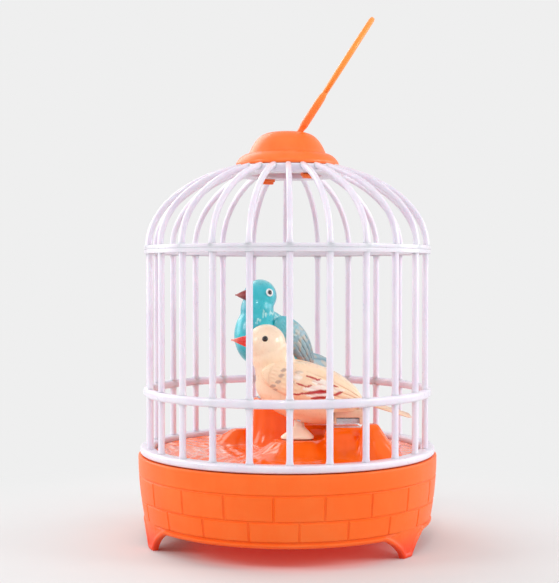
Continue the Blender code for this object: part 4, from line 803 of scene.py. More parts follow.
def skirt_sector(s):
    """A third of the skirt with one foot, and a rounded lip along its edge."""
    radius = bowl_radius(s, s.skirt_edge)
    reach = math.radians(60) * radius
    near, far = s.foot_width / 2, s.foot_spread / 2
    steps = range(1, 27)
    side = [near * i / 4 for i in range(5)]
    side += [near + (far - near) * (1 - math.cos(math.pi / 2 * i / 26)) ** 1.35 for i in steps]
    side += [far + (reach - far) * i / 26 for i in steps]
    across = [-x for x in reversed(side[1:])] + side
    edge = [Vector((x, foot_edge(s, x))) for x in across]
    top = s.course_bottom + 0.4
    inside = radius - s.wall
    lip_width, lip_depth = 1.7, 0.5
    loops = []
    for x, low in zip(across, (point.y for point in edge)):
        angle = math.degrees(x / radius)
        heights = [low + rise for rise in (0.03, 0.1, 0.25, 0.45, 0.7, 1.0, 1.35, 1.75)]
        start = heights[-1]
        heights += [start + (top - start) * i / 6 for i in range(1, 7)]
        loop = []
        for z in heights:
            here = Vector((x, z))
            gap = min((here - point).length for point in edge)
            lip = 0.0 if gap > lip_width else lip_depth * (1 - (gap / (lip_width / 2) - 1) ** 2)
            loop.append(around(bowl_radius(s, z) + lip - joint(z - s.course_bottom, s), angle, z))
        for depth, z in ((inside, top), (inside, (top + low) / 2), (inside, low + 0.35)):
            loop.append(around(depth, angle, z))
        for depth in (inside + 0.3, radius - 0.35):
            loop.append(around(depth, angle, low))
        loops.append(loop)
    return tube_object("skirt", loops, ends=False)


def build_base(s):
    material = bowl_material(s)
    wall = copied_round(brick_sector(s), s.brick_count, s.brick_phase, material)
    skirt = copied_round(skirt_sector(s), 3, s.foot_phase, material)
    bowl = joined("base_bowl", [wall, skirt])
    settle(bowl, "cage", material, "orange_plastic", "base_shell")
    for name in ("bottom_cover", "battery_door"):
        cover(name, material)


# Cage


# Bottom and top of each ring
FLANGE = (33.0, 35.6)
MIDDLE_RING = (54.4, 57.5)
SIDE_RING = (107.2, 108.66)
DOME_RING = (108.68, 110.1)
DOME_LIP = (107.5, 109.8)

COLLAR = (13.4, 21.3, 136.6, 139.8)  # inner and outer radius, bottom and top
TAB_ANGLES = (29.0, 209.0)  # where the cap's snap tabs sit in the collar


def cage_bar(s):
    """One bar, a little thicker where it meets a ring."""
    marks = (FLANGE[1], *MIDDLE_RING, SIDE_RING[0])
    levels = [34.4, 42.0, 48.0, 64.0, 76.0, 88.0, 98.0, 108.2]
    for mark in marks:
        levels += [mark + offset for offset in (-2.4, -1.3, -0.7, -0.3, 0.0, 0.3, 0.7, 1.3, 2.4)]
    loops = []
    for z in sorted(level for level in levels if 34.3 < level < 108.3):
        grow = sum(swell(z, mark, 0.32, 0.75) for mark in marks)
        section = oval(s.bar_width / 2 + grow, s.bar_depth / 2 + grow * 0.3, 2.5, 20)
        loops.append([(x, -s.bar_circle + y, z) for x, y in section])
    return tube_object("bars", loops)


def dome_rib(s):
    """One rib of the dome, from the lower ring up into the collar."""
    half = s.bar_depth / 2
    long, rise = s.dome_radius - half, s.dome_rise - half
    end = math.acos((s.rib_end + 0.1) / long)
    path = [(long, s.dome_spring - drop, 0.0) for drop in (0.9, 0.4)]
    for i in range(33):
        turn = end * i / 32
        normal = math.atan2(math.sin(turn) / rise, math.cos(turn) / long)
        path.append((long * math.cos(turn), s.dome_spring + rise * math.sin(turn), normal))
    loops = []
    for radius, z, normal in path:
        grow = swell(z, s.dome_spring, 0.3, 0.8) + swell(radius, COLLAR[1], 0.25, 0.9)
        section = oval(s.rib_width / 2 + grow, half, 2.5, 20)
        loops.append([(x, -(radius + y * math.cos(normal)), z + y * math.sin(normal)) for x, y in section])
    return tube_object("ribs", loops)


def build_side(s, material):
    bars = copied_round(cage_bar(s), s.bar_count, s.bar_phase, material)
    rings = Shape()
    rings.turned(soft_box(s.bar_circle - 2.3, s.bar_circle + 3.1, *FLANGE, 0.85))
    rings.turned(soft_box(s.bar_circle - 1.2, s.bar_circle + 1.9, *MIDDLE_RING, 0.95))
    rings.turned(soft_box(s.bar_circle - 1.2, s.bar_circle + 1.6, *SIDE_RING, 0.12))
    side = joined("cage_wall", [bars, rings.object("rings")])
    settle(side, "cage", material, "cage_plastic", "cage_side")


def build_dome(s, material):
    ribs = copied_round(dome_rib(s), s.bar_count, s.bar_phase, material)
    rings = Shape()
    rings.turned(soft_box(s.bar_circle - 1.5, s.bar_circle + 1.6, *DOME_RING, 0.12))
    rings.turned(soft_box(s.bar_circle - 2.3, s.bar_circle - 1.55, *DOME_LIP, 0.2))
    rings.turned(soft_box(*COLLAR, 0.6))
    collar = rings.object("dome_rings")
    slots = Shape()
    for angle in TAB_ANGLES:
        slots.block((-2.9, -16.8, 135.0), (2.9, -14.2, 141.0), 0.2, rotation(angle, "Z"))
    carve(collar, slots.object("tab_slots"))
    dome = joined("cage_roof", [ribs, collar])
    settle(dome, "cage", material, "cage_plastic", "cage_dome")


def build_cage(s):
    material = cage_material(s)
    build_side(s, material)
    build_dome(s, material)


# Cap and handle


def cap_curve(s, inset):
    """The cap's outer points, or its inner ones where it is moved in by inset."""
    crown, rise, top = s.crown_radius - inset, s.rise - inset, s.top - inset
    steps = 26
    points = []
    for i in range(1, steps + 1):
        share = math.sin(math.pi / 2 * i / steps) ** 0.8
        points.append((crown * share, top - rise * share**4.5))
    low = s.brim_bottom - inset
    brim = ((0.1, 4.72), (0.35, 4.6), (0.7, 4.62), (1.5, 4.45), (2.5, 3.95), (3.4, 3.2), (4.15, 2.3))
    points += [(crown + out, low + up) for out, up in brim]
    return [*points, (s.brim_radius - inset - 0.2, low + 1.6)]


def loop_outline(s, inset):
    """The leaf-shaped edge of the loop moved in by inset, as lengths along and across it."""
    low = s.stem + s.neck - 0.6 + inset
    span = s.loop + 0.6 - 2.2 * inset
    half = s.loop_width / 2 - inset
    right = []
    for i in range(1, 90):
        share = (1 - math.cos(math.pi * i / 90)) / 2
        right.append((low + span * share, half * math.sin(math.pi * share**0.85) ** 0.75))
    left = [(along, -wide) for along, wide in reversed(right)]
    return [(low, 0.0), *right, (low + span, 0.0), *left]


def even_turns(points, middle, count):
    """A closed curve's points in even directions from its middle."""
    full = 2 * math.pi
    polar = sorted((math.atan2(y, x - middle) % full, math.hypot(x - middle, y)) for x, y in points)
    polar = [(polar[-1][0] - full, polar[-1][1]), *polar, (polar[0][0] + full, polar[0][1])]
    made = []
    place = 0
    for i in range(count):
        turn = full * i / count
        while polar[place + 1][0] < turn:
            place += 1
        (low, first), (high, second) = polar[place], polar[place + 1]
        radius = first + (second - first) * (turn - low) / max(1e-9, high - low)
        made.append((middle + radius * math.cos(turn), radius * math.sin(turn)))
    return made


def build_hat(s, material):
    """The cap with its slot for the loop, its two snap tabs and the lugs that hold the loop's pin."""
    inside = [point for point in cap_curve(s, s.wall) if point[1] > s.brim_bottom + 0.6]
    brim_edge = ((0.0, 1.1), (0.0, 0.5), (0.15, 0.15), (0.5, 0.0), (1.9, 0.0))
    edge = [(s.brim_radius - inward, s.brim_bottom + up) for inward, up in brim_edge]
    shape = Shape()
    profile = [(0.0, s.top), *cap_curve(s, 0.0), *edge, *reversed(inside), (0.0, s.top - s.wall)]
    shape.turned(profile, 120, closed=False)
    crown = shape.object("hat_crown")
    turned = rotation(s.turn, "Z")
    carve(crown, block_object("slot", (-6.2, -2.95, s.top - 3.2), (6.2, 2.95, s.top + 1.6), 0.5, turned))
    rest = Shape()
    for angle in TAB_ANGLES:
        out = rotation(angle, "Z")
        rest.block((-2.65, -16.3, 135.5), (2.65, -14.5, 142.5), 0.35, out)
        rest.block((-2.5, -17.4, 134.7), (2.5, -15.4, 136.3), 0.3, out)
    for low, high in ((-4.8, -2.8), (2.8, 4.8)):
        rest.block((-2.9, low, 143.2), (2.9, high, s.top - 1.1), 0.35, turned)
    hat = joined("hat", [crown, rest.object("tabs")])
    settle(hat, "cage", material, "orange_plastic", "top_cap")


def loop_rail(shape, s):
    """The leaf-shaped rail of the loop, +Z from its pin to its tip."""
    middle = s.stem + s.neck + 0.45 * s.loop
    outer = even_turns(loop_outline(s, 0.0), middle, 168)
    inner = even_turns(loop_outline(s, s.loop_rail), middle, 168)
    roundness = 0.65
    section = []
    for c, d in turns(32):
        share = 0.5 + 0.5 * signed_power(c, roundness)
        section.append((share, s.loop_thickness / 2 * signed_power(d, roundness)))
    loops = []
    for a, b in zip(outer, inner):
        loop = []
        for share, height in section:
            along, wide = between(b, a, share)
            loop.append((-height, wide, along))
        loops.append(loop)
    shape.tube([*loops, loops[0]], ends=False)


def loop_stem(shape, s):
    """The loop's stem and neck, and the eye that turns on the pin."""
    end = s.stem + s.neck
    sections = [  # height, half thickness and half width
        (1.2, 1.15, 2.4),
        (s.stem - 1.2, 1.15, 2.4),
        (s.stem - 0.3, 1.2, 2.5),
        (s.stem + 0.4, 1.42, 2.9),
        (s.stem + 1.2, 1.48, 3.15),
        (end - 3.2, 1.48, 3.2),
        (end - 1.4, 1.38, 3.2),
        (end - 0.1, 1.1, 3.2),
        (end + 0.9, 0.98, 2.9),
    ]
    shape.tube([[(x, y, z) for x, y in oval(thin, wide, 3.4, 28)] for z, thin, wide in sections])
    eye = ((-2.5, 2.5), (-2.3, 2.8), (-2.0, 2.9), (2.0, 2.9), (2.3, 2.8), (2.5, 2.5))
    shape.tube([[(x, y, z) for x, z in oval(radius, radius, 2.0, 32)] for y, radius in eye])


def build_loop(s, material):
    shape = Shape()
    loop_rail(shape, s)
    loop_stem(shape, s)
    pin = Matrix.Translation((0, 0, s.top - 7.1))
    loop = shape.object("carrying_loop", pin @ rotation(s.turn, "Z") @ rotation(s.tilt, "Y"), sharp=65.0)
    settle(loop, "handle", material, "orange_plastic", "handle_loop")


def build_cap(s):
    material = cap_material(s)
    build_hat(s, material)
    build_loop(s, material)


# Deck


def floor_height(s, x, y):
    """The floor's height: wavy water on the left, uneven ground on the right."""
    bend = noise.noise(Vector((x * 0.045, y * 0.045, 3.1)))
    fine = noise.noise(Vector((x * 0.13, y * 0.13, 7.7)))
    run = math.hypot(x + 62, y * 0.8 + 14) + 7 * bend
    wave = 0.5 + 0.5 * math.sin(run * 2 * math.pi / s.ripple_length + 2.4 * fine)
    water = 1 - soft(x + 8 * bend, -16, 2)
    ground = 0.5 + 0.5 * noise.noise(Vector((x * 0.22, y * 0.22, 1.3)))
    drop = water * (1 - wave**1.5) + (1 - water) * (0.55 * ground + 0.25 * (1 - wave))
    return s.top - s.ripple * drop


def mound(shape, s, foot, foot_radii, crown, crown_radii, top, seed, folds, flow):
    """A smooth lump with a level top, soft upright folds and a foot that runs out into the floor.

    Foot and crown are the middles of its ends. The higher the flow, the sooner the foot narrows.
    """
    sides, levels = 108, 30
    low = s.top - 0.4
    loops = []
    for j in range(levels + 1):
        t = j / levels
        spread = (1 - t) ** flow
        rim = 1 - 0.12 * soft(t, 0.82, 1.0) ** 2
        centre = between(crown, foot, spread)
        radii = between(crown_radii, foot_radii, spread)
        out = 1.6 * (1 - t) ** 5
        loop = []
        for x, y in turns(sides):
            slow = noise.noise(Vector((x * 1.9, y * 1.9, seed + 0.4 * t)))
            quick = noise.noise(Vector((x * 4.4, y * 4.4, seed + 9 + 0.6 * t)))
            factor = rim * (1 + folds * (1.2 * slow + 1.3 * quick) * (1 - 0.55 * t))
            px = centre[0] + (radii[0] * factor + out) * x
            py = centre[1] + (radii[1] * factor + out) * y
            far = math.hypot(px, py)
            keep = min(1.0, (s.radius - 0.4) / far)
            loop.append((px * keep, py * keep, low + (top - low) * t))
        loops.append(loop)
    loops.insert(0, [(x, y, low - 1.3) for x, y, _ in loops[0]])
    last = loops[-1]
    cx, cy = crown
    for share in (0.8, 0.5, 0.2):
        loops.append([(cx + (x - cx) * share, cy + (y - cy) * share, z) for x, y, z in last])
    shape.tube(loops)


MOUNDS = [
    # the stump under the back bird
    ((-0.54, 16.5), (15.2, 15.0), (-0.54, 16.5), (13.9, 13.5), 51.6, 1.0, 0.05, 2.2),
    # the rock under the front bird's leg
    ((2.3, -17.4), (14.8, 14.2), (4.3, -12.0), (9.4, 8.2), 39.0, 3.0, 0.15, 1.1),
    # the rock over the front magnet, the ridge behind it and the lip before its crown
    ((22.5, -15.8), (9.4, 14.4), (22.1, -12.2), (8.3, 9.8), 43.1, 2.0, 0.09, 1.6),
    ((15.5, -4.5), (14.8, 6.2), (15.5, -4.0), (12.4, 4.2), 43.6, 7.0, 0.05, 1.5),
    ((22.1, -18.6), (8.6, 4.4), (22.1, -19.0), (7.3, 1.5), 44.1, 6.0, 0.04, 1.4),
    # a small rock on the right and one on the left
    ((32.5, -25.5), (8.2, 8.2), (29.5, -25.0), (3.1, 3.1), 46.2, 5.0, 0.12, 1.1),
    ((-22.0, 14.8), (8.0, 5.8), (-18.6, 15.2), (3.0, 2.4), 39.4, 4.0, 0.14, 1.0),
]


def build_deck(s):
    shape = Shape()
    steps, rings = 360, 92
    under = 31.9
    loops = []
    for j in range(1, rings + 1):
        radius = s.radius * (j / rings) ** 0.8
        edge = soft(radius, s.radius - 1.5, s.radius)
        loop = []
        for x, y, _ in circle(radius, 0.0, steps):
            z = floor_height(s, x, y)
            loop.append((x, y, z + (s.top - 0.15 - z) * edge))
        loops.append(loop)
    rim = ((s.radius, 32.8), (53.5, 32.7), (53.7, 32.5), (53.7, 30.3), (48.2, 30.3), (48.2, under))
    loops += [circle(radius, z, steps) for radius, z in rim]
    loops.append([(x * 0.02, y * 0.02, under) for x, y, _ in loops[-1]])
    shape.tube(loops)
    for sizes in MOUNDS:
        mound(shape, s, *sizes)
    deck = skinned(shape.object("deck_ground"), s.voxel, 0.5, 5)
    settle(deck, "cage", deck_material(s), "orange_plastic", "deck")


# Birds


@dataclass
class Form:
    """A bird's sizes in its own frame: origin on its rocking pin, +X to the tail, +Z up."""

    name: str
    slot: str
    tint: str  # the setting with its main colour
    place: tuple
    heading: float
    lumps: list  # centre, radii and tilt of each lump of the body. The last one is the head.
    beak_tip: tuple
    eye: tuple  # x, z and radius
    wing: tuple  # centre, half sizes and tilt
    tail: tuple  # root, length, slope, and the widths at the root and at the tip
    camber: float  # how far the tail's edges hang under its middle
    magnet: tuple  # x of the steel bar's middle, and the height of its underside
    leg: float  # height of the pin over the foot's sole

    @property
    def head(self):
        """The head's centre and radius."""
        centre, radii, _ = self.lumps[-1]
        return centre, radii[0]

    def matrix(self):
        return Matrix.Translation(self.place) @ rotation(self.heading, "Z")


CREAM_FORM = Form(
    name="cream_bird",
    slot="cream_plastic",
    tint="cream",
    place=(4.3, -12.0, 46.6),
    heading=0.0,
    lumps=[
        ((3.2, 0.0, 9.4), (19.8, 10.2, 11.0), 14.0),
        ((-8.6, 0.0, 18.0), (7.6, 7.4, 11.0), 0.0),
        ((-10.6, 0.0, 22.5), (6.9, 6.9, 7.5), 0.0),
        ((-12.1, 0.0, 27.4), (7.3, 7.2, 7.3), 0.0),
    ],
    beak_tip=(-25.0, 0.0, 29.0),
    eye=(-12.4, 29.7, 1.1),
    wing=((4.5, 10.4, 12.2), (19.0, 2.6, 6.6), 15.0),
    tail=((16.5, 0.0, 8.8), 25.8, 17.0, 7.0, 12.0),
    camber=0.6,
    magnet=(17.8, -1.5),
    leg=7.3,
)

BLUE_FORM = Form(
    name="blue_bird",
    slot="teal_plastic",
    tint="teal",
    place=(-5.0, 12.5, 55.1),
    heading=42.0,
    lumps=[
        ((1.5, 0.0, 15.5), (19.0, 9.6, 10.3), 50.0),
        ((-8.5, 0.0, 21.2), (9.3, 8.9, 11.6), 0.0),
        ((-8.9, 0.0, 30.8), (6.4, 6.4, 7.4), 0.0),
        ((-7.4, 0.0, 36.2), (6.5, 6.4, 6.5), 0.0),
    ],
    beak_tip=(-19.6, 0.0, 36.9),
    eye=(-8.2, 37.6, 1.25),
    wing=((2.8, 9.6, 18.2), (13.5, 2.6, 5.6), 42.0),
    tail=((8.5, 0.0, 15.6), 20.0, 13.0, 6.0, 9.0),
    camber=4.4,
    magnet=(12.0, -1.5),
    leg=3.2,
)


def bird_piece(obj, form, colour_at, material, *nodes, body=None, slot=None):
    """Paints a finished piece of a bird and settles it.

    colour_at takes a place in the bird's own frame, in millimetres, and returns red, green and blue.
    """
    back = form.matrix().inverted()
    layer = obj.data.color_attributes.new("paint", "FLOAT_COLOR", "POINT")
    for vert, entry in zip(obj.data.vertices, layer.data):
        entry.color = (*colour_at(back @ (vert.co / MM)), 1.0)
    settle(obj, body or form.name, material, slot or form.slot, *nodes)


def stroke(x, z, start, end, width):
    """How much of a brush stroke from start to end covers the point. It is thin at both ends."""
    ax, az = start
    bx, bz = end
    run = (bx - ax) ** 2 + (bz - az) ** 2
    share = min(1.0, max(0.0, ((x - ax) * (bx - ax) + (z - az) * (bz - az)) / max(run, 1e-6)))
    gap = math.hypot(x - ax - share * (bx - ax), z - az - share * (bz - az))
    here = width * (1 - 0.6 * (2 * share - 1) ** 2)
    wobble = 0.16 * noise.noise(Vector((x * 0.9, z * 0.9, ax)))
    return 1 - soft(gap + wobble, here * 0.6, here)


def rough(place, size, seed=0.0):
    """Noise between 0 and 1."""
    return 0.5 + 0.5 * noise.noise(Vector((place.x / size, place.y / size, place.z / size + seed)))


def cream_body_colour(s):
    pale = linear(255, 234, 208)
    warm = linear(250, 202, 156)
    red = linear(232, 110, 78)

    def at(p):
        made = between(s.cream, warm, 0.5 * soft(rough(p, 7.0), 0.45, 0.75))
        # painted light: paler towards the top of the neck and head
        made = between(made, pale, 0.6 * soft(p.z - 0.25 * p.x, 22, 30))
        # painted reflected light: a red tint low on the belly for light bounced up from the orange floor
        made = between(made, red, 0.12 * soft(p.z + 0.2 * p.x, 3.0, -2.0))
        scallop = abs(math.sin(p.x * 0.9 + 0.6 * math.sin(p.z * 1.1)))
        back = soft(p.x, 0, 6) * soft(p.z + 0.35 * p.x, 14, 18)
        return between(made, s.dab, 0.2 * back * (1 - scallop) ** 2)

    return at


def cream_wing_colour(s):
    white = linear(255, 248, 238)
    grey = linear(186, 170, 162)
    warm = linear(250, 206, 160)
    patches = [  # start, end, width and strength of each
        ((-1.6, 16.2), (0.6, 16.1), 1.7, 0.7),
        ((5.0, 14.6), (10.4, 13.7), 1.6, 0.95),
        ((1.6, 11.9), (10.4, 12.6), 1.3, 1.0),
        ((2.6, 9.6), (10.4, 9.9), 0.9, 1.0),
        ((10.0, 11.8), (16.0, 11.4), 1.0, 0.7),
    ]
    dabs = [(-5.6, 18.6), (-6.5, 16.7), (-7.6, 14.4), (-9.5, 12.8), (-8.9, 11.3)]
    stripes = [  # start, end and width of each
        ((2.7, 16.6), (7.1, 15.1), 0.4),
        ((6.0, 15.1), (7.7, 15.5), 0.45),
        ((-1.1, 14.0), (3.1, 12.6), 0.4),
        ((2.4, 12.6), (4.5, 13.4), 0.45),
        ((-2.4, 10.1), (0.4, 9.9), 0.5),
        ((0.0, 9.9), (0.9, 10.6), 0.4),
        ((1.0, 10.2), (9.9, 11.3), 0.75),
        ((5.0, 10.9), (10.6, 11.0), 0.95),
        ((4.2, 8.5), (11.0, 9.0), 0.75),
        ((12.2, 9.6), (15.4, 10.8), 0.65),
        ((9.5, 13.9), (13.8, 12.6), 0.4),
        ((13.5, 7.4), (18.5, 8.2), 0.5),
    ]
    strokes = [(white, share, start, end, width) for start, end, width, share in patches]
    strokes += [(s.dab, 0.62, (x - 0.8, z - 0.15), (x + 0.8, z + 0.25), 0.85) for x, z in dabs]
    strokes += [
        (grey, 0.6, (-1.4, 17.9), (1.2, 18.0), 0.7),
        (grey, 0.5, (-2.6, 14.4), (-1.4, 14.7), 0.6),
        (linear(222, 168, 146), 0.6, (6.0, 13.6), (8.4, 13.6), 0.4),
    ]
    strokes += [(s.rust, 0.95, start, end, width) for start, end, width in stripes]

    def at(p):
        made = between(s.cream, warm, 0.3 * rough(p, 5.0))
        for tint, share, start, end, width in strokes:
            made = between(made, tint, share * stroke(p.x, p.z, start, end, width))
        return made

    return at


def cream_tail_colour(s):
    groove = linear(240, 176, 122)

    def at(p):
        vane = abs(math.sin(p.y * 1.9))
        made = between(s.cream, groove, 0.5 * (1 - vane) ** 2)
        return between(made, s.dab, 0.5 * soft(p.x, 34, 41) * rough(p, 2.0))

    return at


def blue_body_colour(s):
    pale = linear(150, 222, 226)
    deep = linear(36, 150, 176)
    light = linear(184, 236, 232)
    places = ((-6.4, 26.4, 1.6), (-4.2, 27.6, 3.4), (-1.7, 28.6, 2.0), (0.2, 26.9, 2.6), (1.9, 28.2, 1.5))
    zigzag = ((0.0, 0.0), (0.25, 1.0), (1.1, 0.2), (1.25, 0.8))
    scribbles = []
    for x, z, tall in places:
        corners = [(x + right, z + up * tall) for right, up in zigzag]
        scribbles += zip(corners, corners[1:])

    def at(p):
        made = between(s.teal, deep, 0.5 * soft(rough(p, 6.0), 0.45, 0.75))
        # painted light: paler on the top of the head
        made = between(made, pale, 0.5 * soft(p.z, 38.5, 43))
        across = 0.743 * p.x + 0.669 * abs(p.y)
        if p.x < 0:
            for start, end in scribbles:
                made = between(made, light, 0.75 * stroke(across, p.z, start, end, 0.3))
        back = soft(p.x + 0.5 * p.z, 13, 20)
        scallop = abs(math.sin(p.z * 0.95 + 0.6 * math.sin(p.y * 1.2)))
        made = between(made, s.grey_teal, 0.75 * back)
        return between(made, s.tan, 0.5 * back * (1 - scallop) ** 1.5)

    return at


def blue_wing_colour(s):
    deep = linear(64, 120, 140)
    (cx, _, cz), _, tilt = BLUE_FORM.wing
    c, d = math.cos(math.radians(tilt)), math.sin(math.radians(tilt))

    def at(p):
        along = (p.x - cx) * c - (p.z - cz) * d
        across = (p.x - cx) * d + (p.z - cz) * c
        made = between(s.grey_teal, s.teal, 0.65 * soft(-along, 2, 11))
        line = abs(math.sin(across * 1.5 + 0.5 * rough(p, 3.0)))
        made = between(made, deep, 0.3 * (1 - line) ** 2 * soft(along, -6, 2))
        fleck = soft(rough(p, 1.9, 4.0), 0.52, 0.7) * soft(along, -11, -3)
        return between(made, s.tan, 0.5 * fleck)

    return at


def plain_colour(main, share):
    """One colour, a little paler in places."""
    pale = [part + (1 - part) * 0.35 for part in main]

    def at(p):
        return between(main, pale, share * rough(p, 2.5))

    return at


def blue_tail_colour(s):
    groove = linear(58, 112, 128)

    def at(p):
        vane = abs(math.sin(p.y * 2.1))
        made = between(s.grey_teal, groove, 0.7 * (1 - vane) ** 2)
        return between(made, s.tan, 0.55 * soft(rough(p, 2.2), 0.52, 0.7))

    return at


def bird_body(s, form, material, colour_at):
    """The body with a pocket for its steel bar and a slot for its leg, and the frame that holds the bar."""
    shape = Shape()
    for lump in form.lumps:
        shape.ball(*lump)
    body = skinned(shape.object("lumps"), s.voxel, 0.6, 14)
    body.name = f"{form.name}_torso"
    x, low = form.magnet
    pocket = block_object("pocket", (x - 5.4, -8.0, low - 9.0), (x + 7.0, 8.0, low + 4.6), 0.1)
    carve(body, pocket, block_object("slot", (-2.9, -1.8, -12.0), (2.9, 1.8, 2.6), 0.1), sharp=SKIN_ANGLE)
    metres, millimetres = Matrix.Diagonal((MM, MM, MM, 1)), Matrix.Diagonal((1 / MM, 1 / MM, 1 / MM, 1))
    body.data.transform(metres @ form.matrix() @ millimetres)
    bird_piece(body, form, colour_at, material, f"{form.name}_body")
    holder = Shape()
    holder.block((x - 5.1, -3.8, low + 2.05), (x + 5.7, 3.8, low + 5.2), 0.45)
    holder.block((x - 5.1, -3.8, low - 0.3), (x - 4.15, 3.8, low + 3.2), 0.3)
    holder.block((x + 4.15, -3.8, low - 0.3), (x + 5.7, 3.8, low + 3.2), 0.35)
    piece = holder.object(f"{form.name}_bar_holder", form.matrix())
    bird_piece(piece, form, plain_colour(getattr(s, form.tint), 0.4), material)


def feather_relief(u, v, out):
    """How deep the wing is cut at a place along it (u), across it (v) and off its plane (out)."""
    long_feathers = soft(u, 0.36, 0.52)
    vane = abs(math.sin(math.pi * (2.6 * v + 0.9 * u)))
    row = u * 9.0 + 0.35 * (1 - v * v)
    cell = v * 3.4 + 0.5 * (math.floor(row) % 2)
    scale = soft(row - math.floor(row) - 0.35 * abs(math.sin(math.pi * cell)), 0.0, 0.45)
    deep = long_feathers * (1 - vane) ** 3 * 0.42 + (1 - long_feathers) * (1 - scale) * 0.3
    return deep * soft(out, 0.05, 0.5)


def bird_wing(form, side, material, colour_at):
    """A wing: scalloped coverts at the shoulder, long feathers to the rear."""
    (cx, cy, cz), (long, thick, tall), tilt = form.wing
    tilted = rotation(tilt, "Y")
    columns, ring = 160, 120
    loops = []
    for i in range(columns + 1):
        u = (1 - math.cos(math.pi * i / columns)) / 2
        along = 2 * u - 1
        swelling = math.sqrt(max(0.0, 1 - abs(along) ** 2.2))
        wide = tall * swelling * (1.08 - 0.25 * u)
        deep = thick * swelling**0.8
        lift = tall * (0.16 - 0.5 * (u - 0.4) ** 2)
        inward = -1.9 * soft(u, 0.45, 1.0) - 0.7 * soft(u, 0.35, 0.0)
        loop = []
        for v, out in turns(ring):
            groove = feather_relief(u, v, out) if out > 0 else 0.0
            point = tilted @ Vector((along * long, 0, v * wide + lift))
            loop.append((cx + point.x, side * (cy + inward + out * (deep - groove)), cz + point.z))
        loops.append(loop)
    # The visual pieces have the bird's own left and right, the CAD those of someone in front of its beak
    own, seen = ("left", "right") if side < 0 else ("right", "left")
    wing = tube_object(f"{form.name}_{own}_wing", loops, form.matrix(), FEATHER_ANGLE)
    bird_piece(wing, form, colour_at, material, f"{form.name}_wing_{seen}")


def bird_tail(form, material, colour_at):
    """A thin split tail with a ridge for each feather."""
    root_place, span, slope, root, tip = form.tail
    sloped = rotation(slope, "Y")
    loops = []
    rows, across = 44, 40
    for i in range(rows + 1):
        u = i / rows
        half = (root + (tip - root) * soft(u, 0.0, 0.9)) / 2
        half *= 1 - 0.35 * soft(u, 0.93, 1.0)
        end = math.sqrt(max(0.0, 1 - soft(u, 0.955, 1.0) ** 2)) if u > 0.955 else 1.0
        top, bottom = [], []
        for j in range(across + 1):
            v = 2 * j / across - 1
            notch = 5.0 * soft(1 - abs(v), 0.45, 1.0) * soft(u, 0.35, 1.0)
            x = u * span - notch
            droop = form.camber * v * v * soft(u, 0.0, 0.5)
            edge = math.sqrt(max(0.0, 1 - v**8))
            ridge = 0.16 * (1 - abs(math.sin(math.pi * v * 3)))
            deep = (0.65 - 0.25 * u) * edge * end
            top.append((x, v * half, deep - ridge * edge * end - droop))
            bottom.append((x, v * half, -deep - droop))
        loops.append([tuple(Vector(root_place) + sloped @ Vector(point)) for point in top + bottom[::-1]])
    tail = tube_object(f"{form.name}_fan", loops, form.matrix(), FEATHER_ANGLE)
    bird_piece(tail, form, colour_at, material, f"{form.name}_tail")


def bird_beak(form, tint, tip_tint, slot):
    """A pointed beak, its two halves parted by a line."""
    centre, radius = form.head
    tip = Vector(form.beak_tip)
    start = Vector(centre) + (tip - Vector(centre)).normalized() * radius * 0.62
    run = tip - start
    loops = []
    for i in range(25):
        u = i / 24
        size = 2.75 * (1 - u) ** 0.8 + 0.22
        point = start + run * u
        loop = []
        for y, z in turns(48):
            line = swell(z, -0.12, 0.2, 0.13) * (1 - soft(u, 0.85, 1.0))
            dip = -0.5 * u * u if z > 0 else 0.15 * u
            loop.append((point.x, y * size * (1 - line) * 0.92, point.z + z * size * (1 - line * 0.4) + dip))
        loops.append(loop)
    beak = tube_object(f"{form.name}_bill", loops, form.matrix())

    def at(p):
        return between(tint, tip_tint, 0.8 * soft((p - start).length / run.length, 0.55, 1.0))

    material = feathered(f"{form.name}_bill_paint", 0.25, 0.05, 1.0)
    bird_piece(beak, form, at, material, f"{form.name}_beak", slot=slot)


def eye_ring(shape, place, out, radius):
    """A thin ring round a bead that looks along out."""
    flat = out.cross(Vector((0, 0, 1))).normalized()
    high = flat.cross(out)
    loops = []
    for c, d in turns(40):
        way = flat * c + high * d
        loop = []
        for e, f in turns(10):
            grown = radius * 0.98 + 0.34 * e
            loop.append(tuple(place + out * (0.62 + 0.22 * f) + way * grown))
        loops.append(loop)
    shape.tube([*loops, loops[0]], ends=False)


def bird_eyes(form, ringed):
    """Two bead eyes, with a pale ring where the bird has one."""
    x, z, radius = form.eye
    centre, head = form.head
    y = math.sqrt(head**2 - (x - centre[0]) ** 2 - (z - centre[2]) ** 2)
    beads = [Vector((x, side * y, z)) for side in (-1, 1)]
    shape = Shape()
    for bead in beads:
        out = (bead - Vector(centre)).normalized()
        place = bead - out * radius * 0.35
        shape.ball(place, (radius, radius, radius), segments=36, rings=24)
        if ringed:
            eye_ring(shape, place, out, radius)
    eyes = shape.object(f"{form.name}_eyes", form.matrix())
    dark = linear(16, 14, 18) if ringed else linear(18, 12, 14)
    pale = linear(236, 240, 240) if ringed else dark

    def at(p):
        far = min((p - bead).length for bead in beads)
        return between(dark, pale, soft(far, radius * 0.72, radius * 0.86))

    bird_piece(eyes, form, at, feathered(f"{form.name}_eye_gloss", 0.07, 0.01, 3.0), slot="black_plastic")


